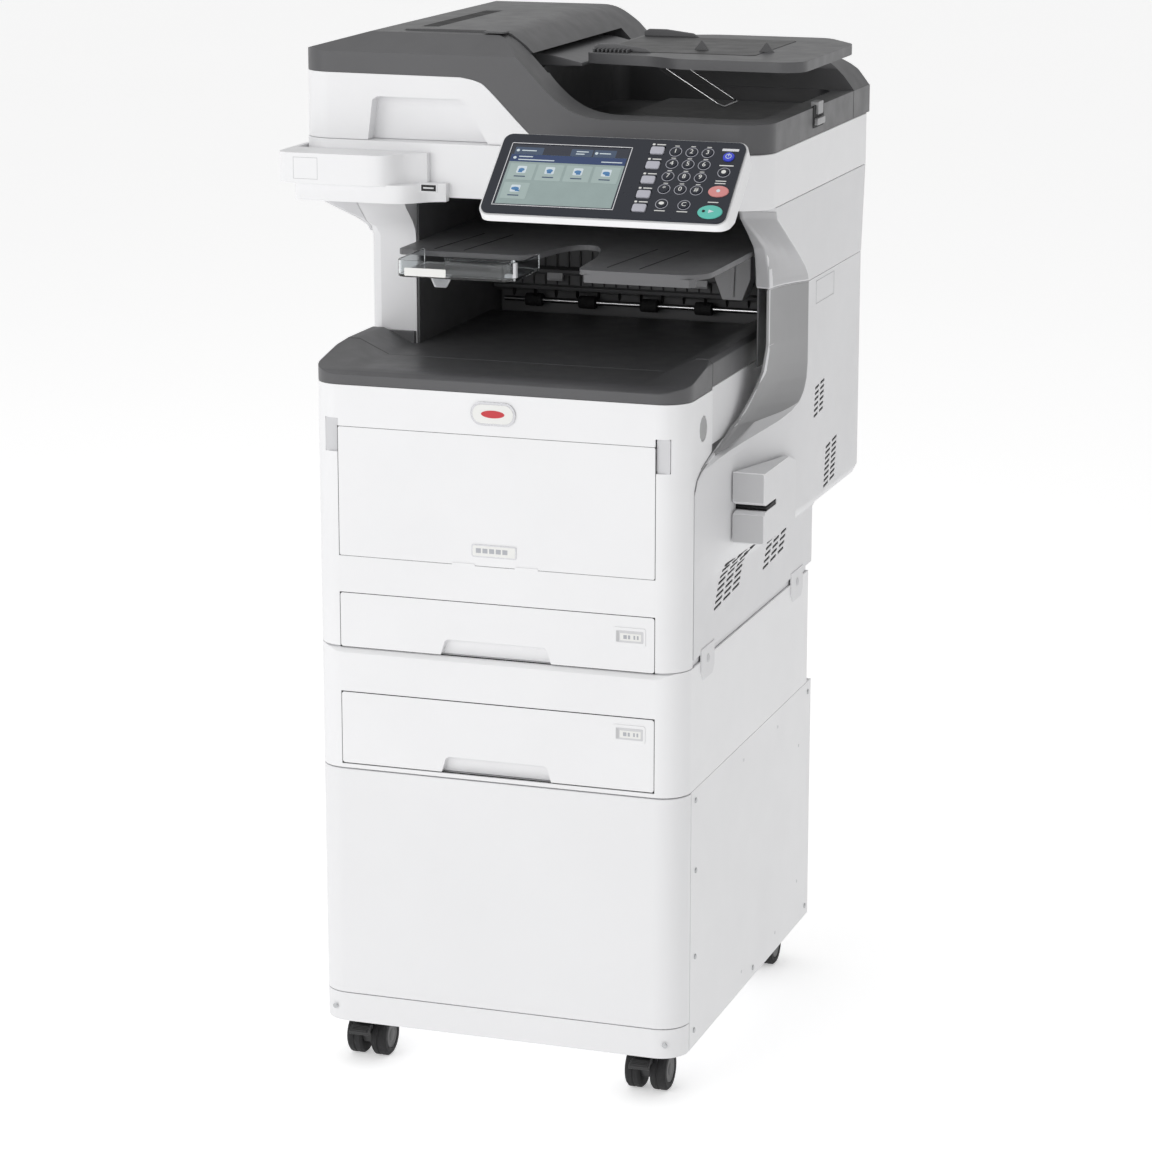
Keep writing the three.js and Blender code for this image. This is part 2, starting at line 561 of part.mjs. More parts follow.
function addColumns() {
  const { low, seam, top } = neck;
  const leftPlan = (left, right, front, back) => [[left, back], [left, front + 14],
    [left + 14, front + 2], [right, front], [right, back]];
  const leftColumn = loft([
    { z: low, points: leftPlan(-HALF, bay.left, 188, 546) },
    { z: 912, points: leftPlan(-HALF, bay.left, 188, 546) },
    { z: 922, points: leftPlan(-HALF - 4, bay.left, 186, 547) },
    { z: 932, points: leftPlan(-HALF - 16, bay.left, 178, 550) },
    { z: 942, points: leftPlan(-HALF - 33, bay.left, 167, 553) },
    { z: 952, points: leftPlan(-HALF - 48, bay.left, 156, 555) },
    { z: 960, points: leftPlan(-OUTER + 2, bay.left, 150, 557) },
    { z: top, points: leftPlan(-OUTER + 1, bay.left, 146, 560) },
  ]);
  const leftHollow = block(-HALF + WALL, bay.left - WALL, 207, 543, low - 1, top - 8);
  const rearSlot = block(-HALF - 1, bay.left + 1, 546.5, 551, low - 1, top - 1);
  place('neck_left', cut(leftColumn, leftHollow, rearSlot), SHELL);

  const lipReach = [[seam, 255], [885, 255], [915, 252], [940, 245], [957, 241], [top, 240]];
  const lipDepth = [[seam, 230], [885, 228], [900, 225], [915, 218], [935, 192], [957, 160],
    [top, 154]];
  const outerDepth = [[seam, bulgeBack], [875, 301], [885, 290], [900, 266], [915, 240],
    [935, 204], [957, 165], [top, 158]];
  const backDepth = [[seam, 548], [top, 562]];
  const rightPlan = (z) => {
    const [lipX, lipY, outerY] = [lipReach, lipDepth, outerDepth].map((line) => between(line, z));
    const hollow = [0.25, 0.5, 0.75].map((share) => [
      lipX + (OUTER - lipX) * share ** hollowPower,
      lipY + (outerY - lipY) * share,
    ]);
    const backY = between(backDepth, z);
    return [[lipX, lipY], ...hollow, [OUTER, outerY], [OUTER, backY], [bay.right, backY],
      [bay.right, lipY + 4]];
  };
  const rightLevels = [seam, 875, 885, 893, 900, 908, 915, 925, 935, 946, 957, top];
  const rightColumn = loft(rightLevels.map((z) => ({ z, points: rightPlan(z) })));
  const rightHollow = block(bay.right + WALL, OUTER - WALL, 312, 544, seam - 1, top - 8);
  const rightSlot = block(bay.right - 1, OUTER - WALL, 546.5, 551, low, top - 0.5);
  place('neck_right', cut(rightColumn, rightHollow, rightSlot), SHELL);
  place('neck_liner', block(bay.right, bay.right + 2, 236, 547, low, seam - GAP), DARK);

  const rear = block(bay.left + GAP, OUTER - WALL - 1, 547, 550, low, top - 1);
  const corner = block(-HALF, bay.left + GAP + 1, 547, 550, low, 955);
  place('neck_rear', join(rear, corner), SHELL);

  const gripLine = [[128, 588], [128, 622], [134, 625.5], [178, 625.5], [178, 632.5],
    [134, 632.5], [128, 636], [128, 671], [232, 671], [262, 660], [262, 588]];
  const gripBody = prismX(gripLine, 236, OUTER - 1);
  const clearance = 3.2;
  const depths = Array.from({ length: 9 }, (_, i) => 100 + (i * 200) / 8);
  const bulgeSkin = [];
  const bulgeInside = [];
  for (const z of [576, 588, bulgeFull, 630, 660, 680]) {
    bulgeSkin.push(depths.map((y) => [sideBulge(y, z) + clearance, y, z]));
    bulgeInside.push(depths.map((y) => [HALF - 20, y, z]));
  }
  place('side_grip', cut(gripBody, shellSolid(bulgeSkin, bulgeInside)), GREY);
}

// ---------------------------------------------------------------- scanner

function addScanner() {
  const { low, top, front, back, corner } = scanner;
  const plan = bodyPlan(OUTER, front, back, corner);
  const body = prismZ(plan, low, top, 6);
  const hollow = block(-OUTER + WALL, OUTER - WALL, front + 45, back - WALL, low + WALL, top - 4);
  const window = block(-222, 222, 165, 480, top - 10, top + 1);
  const bracket = join(
    block(70, 226, 62, front + 2, 990, 1030),
    block(70, 86, 28, 64, 1000, 1030),
    block(210, 226, 28, 64, 1000, 1030),
  );
  place('scanner_body', cut(join(body, bracket), hollow, window), WHITE);
  const glass = block(-222 + GAP, 222 - GAP, 165 + GAP, 480 - GAP, top - 4, top - 0.6);
  place('platen_glass', glass, GLASS);
  const carriage = join(
    block(-246, -216, 168, 478, low + 6, low + 26),
    block(-238, -224, 180, 466, low + 26, low + 48),
  );
  place('scan_carriage', carriage, BLACK);

  const grown = prismZ(bodyPlan(OUTER + GAP, front - GAP, back, corner), low - 30, top + 9, 6);
  const shelfEnd = smoothLine([[-176, 62], [-160, 64.5], [-149, 74], [-138, 92], [-118, 104]], 12);
  const shelfLine = [[-288, 155], [-288, 76], [-284, 66], [-274, 62], ...shelfEnd, [-118, 155]];
  const shelfTop = prismZ(shelfLine, 988, 1023);
  const tierEnd = smoothLine([[-158, 68], [-138, 71], [-124, 82], [-112, 96], [-95, 104]], 12);
  const tierLine = [[-271, 155], [-271, 80], [-267, 71], [-258, 68], ...tierEnd, [-95, 155]];
  const lowerTier = prismZ(tierLine, 968, 989);
  const trim = block(-OUTER - 1, 0, front, 200, 960, 1040);
  const wrap = block(-288, -OUTER - GAP, 100, 150, 988, 1023);
  const shelf = join(cut(shelfTop, trim), wrap, cut(lowerTier, trim));
  place('left_shelf', cut(shelf, grown), WHITE);
}

// ---------------------------------------------------------------- document feeder

// Front elevation of the feeder from left to right: the hump, the sweep down and the exit side.
const humpSweep = smoothLine([[-60, 1157], [-40, 1153], [-22, 1141], [-2, 1121], [18, 1100],
  [38, 1083], [60, 1072], [85, 1067.5]], 28);
const humpLine = [[-OUTER, 1134], [-200, 1156], ...humpSweep, [OUTER, 1067]];
const whiteSweep = smoothLine([[-82, 1109], [-62, 1105], [-48, 1096], [-8, 1056], [8, 1042],
  [20, 1036]], 20);
const whiteLine = [[-OUTER, 1110], ...whiteSweep];

function addFeeder() {
  const { low, edge, top, peak, front, back } = feeder;
  const plan = prismZ(bodyPlan(OUTER, front, back, 38), low, 1200, 5);
  const humpShape = [[-OUTER, low], ...humpLine, [OUTER, low]];
  const rise = [[front, low], [front, edge], [front + 32, top - 1], [back - 60, peak],
    [back - 12, peak - 6], [back, edge], [back, low]];
  const whole = common(plan, prismY(humpShape, front, back), prismX(rise, -OUTER - 1, OUTER + 1));

  const whiteShape = [[-OUTER, low], ...whiteLine, [20, low]];
  const pocket = [[-196, low - 1], [-190, 1080], [-184, 1084], [-84, 1084], [-76, 1080],
    [-48, low - 1]];
  const whiteFront = cut(
    common(plan, prismY(whiteShape, front, 168)),
    prismY([[-OUTER + 3, low + 3], [-84, 1106], [-64, 1101], [-48, 1090], [4, low + 3]],
      front + 24, 169),
    prismY(pocket, front - 1, front + 18),
  );
  const sideSkin = common(plan, prismY([[-OUTER, low], [-OUTER, 1110], [-OUTER + 3, 1110],
    [-OUTER + 3, low]], 160, back));
  const whiteRear = block(-OUTER, -100, back - 3, back, low, 1108.5);
  const padSpace = block(-216, 215, 171, 475, low - 1, low + 2.5);
  place('feeder_base', cut(join(whiteFront, sideSkin, whiteRear), padSpace), WHITE);

  const raised = whiteSweep.map(([x, z]) => [x + GAP, z + GAP]);
  const whiteSpace = join(
    prismY([[-OUTER - 1, low - 1], [-OUTER - 1, 1110 + GAP], ...raised, [21, low - 1]],
      front - 1, 169),
    block(-OUTER - 1, -99.5, 160, 600, low - 1, 1110 + GAP),
    block(-97, -30, 180, 560, 1040, 1099),
    block(-97, -60, 520, 550, low - 1, 1041),
  );
  const exitWell = prismZ(roundedRectangle(-20, 256, 170, 500, [40, 20, 20, 20]), 1046, 1300, 3);
  const coverSeat = prismY([[-170, 1130], [-170, 1200], [30, 1200], [30, 1112], [-40, 1112],
    [-60, 1130]], 168, 500);
  const rearRise = common(
    prismX([[502, 1060], [502, 1092], [508, 1100], [516, 1105], [540, 1107], [560, 1100],
      [back, 1086], [back, 1060]], 20, OUTER),
    prismY([[20, 1040], [20, 1110], [200, 1110], ...smoothLine([[215, 1109], [240, 1103],
      [262, 1090], [OUTER, 1066]], 8), [OUTER, 1040]], 490, 580),
    plan,
  );
  const humpHollow = block(-262, -70, 130, 566, 1100, 1126);
  const darkCover = cut(join(cut(whole, whiteSpace, exitWell, coverSeat), rearRise),
    humpHollow, padSpace);
  place('feeder_top', darkCover, DARK);

  const cover = common(
    cut(prismY([[-168, 1131], [-168, 1157], [-58, 1159.5], [-38, 1155], [-20, 1142],
      [-12, 1134], [-62, 1131]], 170, 498), cylinder('y', 13, 200, 420, -150, 1164, 12)),
    prismX([[100, 1100], [100, 1150], [170, 1158], [500, 1161.6], [500, 1100]], -300, 300),
  );
  const coverHollow = block(-158, -64, 180, 490, 1128, 1150);
  const grooveRoom = block(-166, -132, 195, 425, 1150, 1165);
  place('feeder_cover', cut(cover, cut(coverHollow, grooveRoom)), DARK);

  const trayPlan = [[30, 232], [120, 216], [150, 196], [282, 196], [298, 214], [298, 430],
    [252, 492], [112, 492], [60, 470], [30, 470]];
  const tray = prismZ(softOutline(trayPlan, 14), 1118, 1130, 3);
  const underside = prismZ([[34, 236], [122, 220], [152, 200], [280, 200], [294, 216],
    [294, 428], [250, 488], [114, 488], [62, 466], [34, 466]], 1117, 1127);
  const stops = [[150, 300], [228, 300]].map(([x, y]) => prismY([[x - 10, 1129], [x + 10, 1129],
    [x, 1142]], y - 2, y + 2));
  const bailEars = [270, 330].map((y) => block(112, 124, y - 12, y - 4, 1112, 1128));
  place('input_tray', join(cut(tray, underside), ...stops, ...bailEars), DARK);

  const reach = 66;
  const fall = -40;
  const legs = [270, 330].map((y) => prismY([[116, 1108.5], [120, 1110.5],
    [120 + reach, 1110.5 + fall], [116 + reach, 1108.5 + fall]], y - 1.5, y + 1.5));
  const endBar = prismY([[116 + reach, 1108.5 + fall], [120 + reach, 1110.5 + fall],
    [123 + reach, 1106.5 + fall], [119 + reach, 1104.5 + fall]], 268.5, 331.5);
  place('document_bail', join(legs[0], endBar, legs[1]), STEEL);

  place('platen_pad', block(-215, 214, 172, 474, low - 0.1, low + 2), WHITE);
}

// ---------------------------------------------------------------- control panel

// Drawn flat: x across, y up the slope, z out of the face. It is then leaned back as a group.
const keyRows = { numberX: [200.5, 218.8, 237], numberY: [17, 35, 53.5, 72] };
const lowerKeys = [[203, 93.5], [228.3, 93.8], [261.4, 44.4]];
const modeKeyY = [16.6, 38.2, 59.8, 81, 101];

const faceX = (across) => across - panel.width / 2;
const faceY = (down) => panel.height / 2 - down;

function oval(across, down, halfLong, halfShort) {
  const shape = new THREE.Shape();
  shape.absellipse(faceX(across), faceY(down), halfLong, halfShort, 0, 2 * Math.PI, false, 0);
  return shape;
}

function addPanel() {
  const slope = new THREE.Group();
  slope.position.set(panel.x, panel.y, panel.z);
  slope.rotation.x = lean;
  group.add(slope);
  const { width, height } = panel;
  const halfW = width / 2;
  const halfH = height / 2;
  const wellDepth = 8;

  const numberSpots = keyRows.numberY.flatMap((down) => keyRows.numberX.map((x) => [x, down]));
  const roundSpots = [...numberSpots, ...lowerKeys];
  const modeSpots = modeKeyY.map((down) => [179.5, down]);
  const roundKey = (spot, grow, z0, z1) => prismZ(oval(...spot, 6 + grow, 6 + grow), z0, z1, 2);
  const modeKey = ([x, down], grow, z0, z1) => block(faceX(x) - 8 - grow, faceX(x) + 8 + grow,
    faceY(down) - 5.5 - grow, faceY(down) + 5.5 + grow, z0, z1);

  const shell = prismZ(roundedRectangle(-halfW - panelRim, halfW + panelRim, -halfH - panelRim,
    halfH + panelRim, [13, 13, 13, 13]), -26, -panelGlass - GAP, 3);
  const chamfer = prismX([[-halfH - 4, -30], [-halfH - 4, -11], [-halfH + 26, -27],
    [-halfH + 26, -30]], -200, 200);
  const well = block(-halfW + 158, halfW - 2, -halfH + 5, halfH - 5, -wellDepth - 2, 0);
  const screenWell = block(-halfW + 8, -halfW + 152, -halfH + 8, halfH - 8, -wellDepth, 0);
  const arm = block(-60, 60, halfH - 34, halfH - 8, -44, -25);
  place('panel_housing', cut(join(cut(shell, chamfer), arm), well, screenWell), WHITE, slope);

  let fascia = prismZ(roundedRectangle(-halfW, halfW, -halfH, halfH, [10, 10, 10, 10]),
    -panelGlass, 0, 3);
  const holes = [
    ...roundSpots.map((spot) => roundKey(spot, 0.5, -5, 5)),
    ...modeSpots.map((spot) => modeKey(spot, 0.5, -5, 5)),
    prismZ(oval(259.5, 102.5, 14.5, 10.2), -5, 5, 3),
    prismZ(oval(262, 72.5, 12.1, 8.6), -5, 5, 3),
    prismZ(oval(261.7, 21.9, 7.1, 7.1), -5, 5, 3),
    block(-halfW + 12, -halfW + 150, -halfH + 12, halfH - 14, -5, 5),
  ];
  fascia = cut(fascia, ...holes);
  place('panel_fascia', fascia, PANEL_BLACK, slope);
  const screen = join(
    block(-halfW + 12.5, -halfW + 149.5, -halfH + 12.5, halfH - 14.5, -4, -0.8),
    block(-halfW + 9, -halfW + 151, -halfH + 9, halfH - 9, -6, -3.2),
  );
  place('panel_screen', screen, SCREEN, slope);

  const numberWeb = block(faceX(193), faceX(246), faceY(99.5), faceY(10), -5, -3.8);
  const saveArm = block(faceX(245), faceX(266), faceY(47), faceY(42), -5, -3.8);
  const numbers = join(numberWeb, saveArm, ...roundSpots.map((spot) => roundKey(spot, 0, -5, 1)));
  place('number_keys', numbers, PANEL_BLACK, slope);
  const modeWeb = block(faceX(170), faceX(189), faceY(107.5), faceY(10), -5, -3.8);
  place('mode_keys', join(modeWeb, ...modeSpots.map((spot) => modeKey(spot, 0, -5, 1))), GREY,
    slope);
  const ovalKey = (across, down, long, short) => join(
    prismZ(oval(across, down, long, short), -5, 1, 3),
    prismZ(oval(across, down, long + 1.2, short + 1.2), -5, -3.8, 3),
  );
  place('start_key', ovalKey(259.5, 102.5, 14, 9.7), TEAL, slope);
  place('stop_key', ovalKey(262, 72.5, 11.6, 8.1), PINK, slope);
  place('power_key', ovalKey(261.7, 21.9, 6.6, 6.6), BLUE, slope);
}

addCabinet();
for (const [name, x, y, braked] of [
  ['front_left', -178, 34, true],
  ['front_right', 172, 34, true],
  ['rear_left', -178, 490, false],
  ['rear_right', 172, 490, false],
]) {
  addCaster(name, x, y, braked);
}
addTrayUnit();
addEngine();
addPrintUnits();
addFrontCover();
addOutputTray();
addExit();
addColumns();
addScanner();
addFeeder();
addPanel();

export default group;
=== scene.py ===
"""Looks for the floor-standing colour photocopier: finishes, fine shapes, studio and camera."""

import math

import bpy
from mathutils import Matrix, Vector
from mathutils.bvhtree import BVHTree


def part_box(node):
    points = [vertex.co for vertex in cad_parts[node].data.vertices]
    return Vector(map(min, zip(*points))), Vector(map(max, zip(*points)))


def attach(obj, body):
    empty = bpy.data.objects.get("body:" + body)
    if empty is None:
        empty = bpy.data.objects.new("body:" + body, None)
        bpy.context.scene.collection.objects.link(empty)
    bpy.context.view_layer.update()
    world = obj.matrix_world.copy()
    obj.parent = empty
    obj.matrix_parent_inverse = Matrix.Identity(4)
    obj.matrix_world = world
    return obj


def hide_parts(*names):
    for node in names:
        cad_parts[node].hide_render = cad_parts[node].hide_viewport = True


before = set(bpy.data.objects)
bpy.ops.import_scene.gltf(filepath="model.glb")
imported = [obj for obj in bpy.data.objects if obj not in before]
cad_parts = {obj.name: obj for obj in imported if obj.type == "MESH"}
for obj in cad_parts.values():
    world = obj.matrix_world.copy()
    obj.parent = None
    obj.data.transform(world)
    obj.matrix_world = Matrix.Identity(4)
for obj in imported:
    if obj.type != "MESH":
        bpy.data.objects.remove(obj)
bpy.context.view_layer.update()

# ---- places
# Positions are written in millimetres from a point on the machine: x = 0 at the middle of the
# front cover, y = 0 at its front face, z = 0 at the underside of the cabinet.

MM = 0.001
cover_low, cover_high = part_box("front_cover")
BASE = Vector(((cover_low.x + cover_high.x) / 2, cover_low.y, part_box("cabinet_base")[0].z))


def millimetres(point):
    return (Vector(point) - BASE) / MM


def edges(node):
    """The six faces of a CAD node's box, in millimetres: x0, x1, y0, y1, z0, z1."""
    low, high = (millimetres(corner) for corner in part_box(node))
    return low.x, high.x, low.y, high.y, low.z, high.z


ENGINE_HALF = edges("front_cover")[1]
OUTER = edges("scanner_body")[1]

# ---- materials

materials = {}


def filled(node, **values):
    """Sets a node's inputs; an underscore stands for a space in an input's name."""
    for name, value in values.items():
        node.inputs[name.replace("_", " ")].default_value = value
    return node


class Nodes:
    """A small helper for building one material's node tree."""

    def __init__(self, name, colour, roughness, metallic=0.0):
        self.material = bpy.data.materials.new(name)
        self.material.use_nodes = True
        self.tree = self.material.node_tree
        self.shader = filled(self.tree.nodes["Principled BSDF"], Base_Color=(*colour, 1),
                             Roughness=roughness, Metallic=metallic)
        self.place = self.node("TexCoord").outputs["Object"]
        materials[name] = self.material

    def node(self, kind, **values):
        return filled(self.tree.nodes.new("ShaderNode" + kind), **values)

    def link(self, a, b):
        self.tree.links.new(a, b)

    def stretched(self, scale):
        mapping = self.node("Mapping", Scale=scale)
        self.link(self.place, mapping.inputs["Vector"])
        return mapping.outputs["Vector"]

    def noise(self, scale, detail=2.0, vector=None):
        node = self.node("TexNoise", Scale=scale, Detail=detail, Roughness=0.5)
        self.link(vector or self.place, node.inputs["Vector"])
        return node.outputs["Fac"]

    def spread(self, value, low, high):
        node = self.node("MapRange", From_Min=0.3, From_Max=0.7, To_Min=low, To_Max=high)
        self.link(value, node.inputs["Value"])
        return node.outputs["Result"]

    def shades(self, value, dark, light):
        ramp = self.node("ValToRGB")
        for stop, place, colour in zip(ramp.color_ramp.elements, (0.3, 0.7), (dark, light)):
            stop.position = place
            stop.color = (*colour, 1)
        self.link(value, ramp.inputs["Fac"])
        self.link(ramp.outputs["Color"], self.shader.inputs["Base Color"])

    def vary(self, colour, share, scale):
        dark = [c * (1 - share) for c in colour]
        light = [min(c * (1 + share), 1.0) for c in colour]
        self.shades(self.noise(scale, 4.0), dark, light)

    def bump(self, height, strength, distance):
        node = self.node("Bump", Strength=strength, Distance=distance)
        self.link(height, node.inputs["Height"])
        self.link(node.outputs["Normal"], self.shader.inputs["Normal"])

    def roughness(self, value, low, high):
        self.link(self.spread(value, low, high), self.shader.inputs["Roughness"])


def moulded(name, colour, roughness, grain=2600.0, depth=0.00004, share=0.015):
    """Injection-moulded plastic: spark-eroded grain, faint cloudiness, uneven gloss."""
    made = Nodes(name, colour, roughness)
    made.vary(colour, share, 7.0)
    made.bump(made.noise(grain, 1.0), 0.35, depth)
    made.roughness(made.noise(40.0, 3.0), roughness * 0.88, roughness * 1.1)
    return made


def powder_coat(name, colour, roughness):
    """Painted sheet steel with the orange peel of powder coating."""
    made = Nodes(name, colour, roughness)
    made.vary(colour, 0.012, 5.0)
    made.bump(made.noise(420.0, 2.0), 0.22, 0.00008)
    made.roughness(made.noise(25.0, 3.0), roughness * 0.85, roughness * 1.12)
    return made


def brushed(name, colour, roughness, along=(900.0, 30.0, 900.0)):
    """Drawn or brushed metal with fine streaks."""
    made = Nodes(name, colour, roughness, metallic=1.0)
    streaks = made.noise(1.0, 3.0, made.stretched(along))
    made.shades(streaks, [c * 0.86 for c in colour], colour)
    made.bump(streaks, 0.1, 0.00003)
    made.roughness(streaks, roughness * 0.75, roughness * 1.3)
    return made


def see_through(name, colour, roughness, ior=1.49):
    made = Nodes(name, colour, roughness)
    filled(made.shader, Transmission_Weight=1.0, IOR=ior)
    made.vary(colour, 0.01, 12.0)
    made.roughness(made.noise(60.0), roughness * 0.6, roughness * 1.6)
    return made


def glowing(name, colour, strength, cloud=0.03):
    """A lit area of the screen, behind its window."""
    made = Nodes(name, colour, 0.18)
    made.vary(colour, cloud, 60.0)
    filled(made.shader, Emission_Color=(*colour, 1), Emission_Strength=strength)
    return made


def glossy(name, colour, roughness):
    made = moulded(name, colour, roughness, grain=900.0, depth=0.000006)
    filled(made.shader, Specular_IOR_Level=0.3, Coat_Weight=0.08, Coat_Roughness=0.12)
    return made


moulded("white_plastic", (0.83, 0.83, 0.84), 0.42)
moulded("shell_plastic", (0.74, 0.74, 0.752), 0.45)
moulded("grey_plastic", (0.50, 0.50, 0.51), 0.42)
moulded("dark_plastic", (0.092, 0.092, 0.096), 0.40, grain=1900.0, depth=0.00007, share=0.06)
moulded("deep_plastic", (0.128, 0.128, 0.133), 0.44, grain=1900.0, depth=0.00007, share=0.06)
moulded("black_plastic", (0.026, 0.026, 0.027), 0.42, grain=1700.0, depth=0.00007, share=0.08)
# shadow_gap is near black, laid as painted shade in gaps, slots, holes, pockets and grooves; the
# start key's lamp wears it as its own dark colour
moulded("shadow_gap", (0.010, 0.010, 0.011), 0.7, share=0.1)
moulded("soft_grey", (0.62, 0.62, 0.635), 0.4)
moulded("trim_grey", (0.36, 0.36, 0.366), 0.45)
moulded("foam_white", (0.86, 0.86, 0.85), 0.8, grain=500.0, depth=0.0002)
moulded("key_grey", (0.47, 0.47, 0.53), 0.34, grain=1500.0)
moulded("black_rubber", (0.014, 0.014, 0.015), 0.78, grain=800.0, depth=0.0002, share=0.12)
moulded("label_paper", (0.80, 0.80, 0.78), 0.6, grain=700.0)
moulded("print_ink", (0.42, 0.43, 0.46), 0.55, share=0.05)
moulded("badge_red", (0.55, 0.04, 0.05), 0.35)
powder_coat("painted_sheet", (0.80, 0.80, 0.81), 0.38)
brushed("zinc_steel", (0.55, 0.56, 0.57), 0.4)
brushed("bright_steel", (0.72, 0.72, 0.73), 0.16, along=(30.0, 900.0, 900.0))
brushed("silver_rim", (0.68, 0.68, 0.70), 0.28)
glossy("panel_face", (0.010, 0.013, 0.023), 0.3)
glossy("teal_key", (0.12, 0.55, 0.46), 0.3)
glossy("pink_key", (0.70, 0.27, 0.26), 0.3)
glossy("blue_key", (0.05, 0.07, 0.62), 0.28)
see_through("clear_glass", (0.86, 0.93, 0.91), 0.02, 1.5)
see_through("clear_plastic", (0.88, 0.91, 0.92), 0.06)
glowing("screen_base", (0.29, 0.37, 0.36), 0.03)
glowing("screen_tile", (0.36, 0.45, 0.435), 0.03)
glowing("screen_header", (0.008, 0.035, 0.13), 0.03)
glowing("screen_dark", (0.010, 0.014, 0.030), 0.02)
glowing("screen_tab", (0.04, 0.07, 0.13), 0.03)
glowing("screen_icon", (0.06, 0.20, 0.42), 0.05)
glowing("screen_icon_pale", (0.62, 0.70, 0.74), 0.05)

# ---- mesh helpers

BEVEL_ANGLE = math.radians(28)
FLAT_ANGLE = math.radians(0.4)
WELD_DISTANCE = 0.00002
RIGHT_OF_ALL = 400
FRONT_OF_ALL = -100


def linked(name, data):
    """A new object in the scene."""
    made = bpy.data.objects.new(name, data)
    bpy.context.scene.collection.objects.link(made)
    return made


def soften(piece, bevel, segments=2):
    """Rounds the sharp edges and keeps the flat faces flat in the shading."""
    piece.data.polygons.foreach_set("use_smooth", [True] * len(piece.data.polygons))
    if bevel > 0:
        rounding = piece.modifiers.new("rounding", "BEVEL")
        rounding.width = bevel * MM
        rounding.segments = segments
        rounding.limit_method = "ANGLE"
        rounding.angle_limit = BEVEL_ANGLE
        rounding.miter_outer = "MITER_ARC"
    weights = piece.modifiers.new("weights", "WEIGHTED_NORMAL")
    weights.mode = "FACE_AREA"
    weights.weight = 90


def tube(rows, steps, closed=False):
    """Faces joining rings of points: capped at both ends, or closed on itself."""
    faces = []
    for row in range(rows if closed else rows - 1):
        low, high = row * steps, (row + 1) % rows * steps
        for k in range(steps):
            j = (k + 1) % steps
            faces.append([low + k, low + j, high + j, high + k])
    if not closed:
        faces.append(list(range(steps))[::-1])
        faces.append([(rows - 1) * steps + k for k in range(steps)])
    return faces


class Shape:
    """Gathers simple closed solids, given in millimetres, into one piece."""

    def __init__(self, matrix=None):
        self.points = []
        self.faces = []
        self.matrix = matrix or Matrix.Identity(4)

    def add(self, points, faces):
        start = len(self.points)
        self.points += [self.matrix @ Vector(p) for p in points]
        self.faces += [[start + i for i in face] for face in faces]
        return self

    def prism(self, outline, axis, low, high):
        """An outline in the other two axes (in the order x, y, z), run from low to high."""
        order = {"x": lambda a, b, c: (c, a, b), "y": lambda a, b, c: (a, c, b),
                 "z": lambda a, b, c: (a, b, c)}[axis]
        count = len(outline)
        points = [order(a, b, level) for level in (low, high) for a, b in outline]
        area = sum(outline[i - 1][0] * outline[i][1] - outline[i][0] * outline[i - 1][1]
                   for i in range(count))
        outward = (area > 0) != (axis == "y")
        ring = list(range(count))
        faces = [ring[::-1] if outward else ring]
        faces.append([i + count for i in (ring if outward else ring[::-1])])
        for i in ring:
            j = (i + 1) % count
            side = [i, j, j + count, i + count]
            faces.append(side if outward else side[::-1])
        return self.add(points, faces)

    def box(self, x0, x1, y0, y1, z0, z1):
        return self.prism([(x0, y0), (x1, y0), (x1, y1), (x0, y1)], "z", z0, z1)

    def turned(self, profile, axis, centre, steps=32):
        """A profile of (radius, distance along the axis), closed at both ends on the axis."""
        order = {"x": lambda a, b, c: (c, a, b), "y": lambda a, b, c: (b, c, a),
                 "z": lambda a, b, c: (a, b, c)}[axis]
        points = []
        for radius, along in profile:
            for i in range(steps):
                turn = 2 * math.pi * i / steps
                offset = order(radius * math.cos(turn), radius * math.sin(turn), along)
                points.append(Vector(centre) + Vector(offset))
        return self.add(points, tube(len(profile), steps))

    def rod(self, path, radius, steps=10):
        """A round wire along a path of points, bent smoothly at its corners."""
        path = [Vector(p) for p in path]
        rings = []
        side = None
        for i, point in enumerate(path):
            ahead = path[min(i + 1, len(path) - 1)] - path[max(i - 1, 0)]
            ahead.normalize()
            if side is None:
                side = ahead.orthogonal().normalized()
            side = (side - ahead * side.dot(ahead)).normalized()
            up = ahead.cross(side)
            turns = [2 * math.pi * k / steps for k in range(steps)]
            rings.append([point + (side * math.cos(t) + up * math.sin(t)) * radius for t in turns])
        return self.add([p for ring in rings for p in ring], tube(len(rings), steps))

    def mesh(self, name):
        data = bpy.data.meshes.new(name)
        data.from_pydata([BASE + p * MM for p in self.points], [], self.faces)
        data.update()
        return data

    def piece(self, name, material, body, slot, bevel=0.0, segments=2):
        return finished(linked(name, self.mesh(name)), material, body, bevel, segments)


def plates(name, material, body, slot, outlines, axis, low, high, bevel=0.0, segments=2, on=None):
    """A piece made of prisms that all run from low to high."""
    shape = Shape(on)
    for outline in outlines:
        shape.prism(outline, axis, low, high)
    shape.piece(name, material, body, slot, bevel, segments)


def plate(name, material, body, slot, outline, axis, low, high, bevel=0.0, segments=2, on=None):
    """A piece that is one prism."""
    plates(name, material, body, slot, [outline], axis, low, high, bevel, segments, on)


def runs(name, material, body, slot, outline, axis, spans, bevel=0.0, segments=2):
    """A piece made of one outline, run over several spans."""
    shape = Shape()
    for low, high in spans:
        shape.prism(outline, axis, low, high)
    shape.piece(name, material, body, slot, bevel, segments)


def turnings(name, material, body, slot, profile, axis, centres, steps, bevel=0.0):
    """A piece made of one turned profile at several places."""
    shape = Shape()
    for centre in centres:
        shape.turned(profile, axis, centre, steps)
    shape.piece(name, material, body, slot, bevel)


def strips(a0, a1, b0, b1, line):
    """Four strips just inside the edges of a rectangle, each as a0, a1, b0, b1."""
    return ((a0, a1, b0, b0 + line), (a0, a1, b1 - line, b1), (a0, a0 + line, b0, b1),
            (a1 - line, a1, b0, b1))


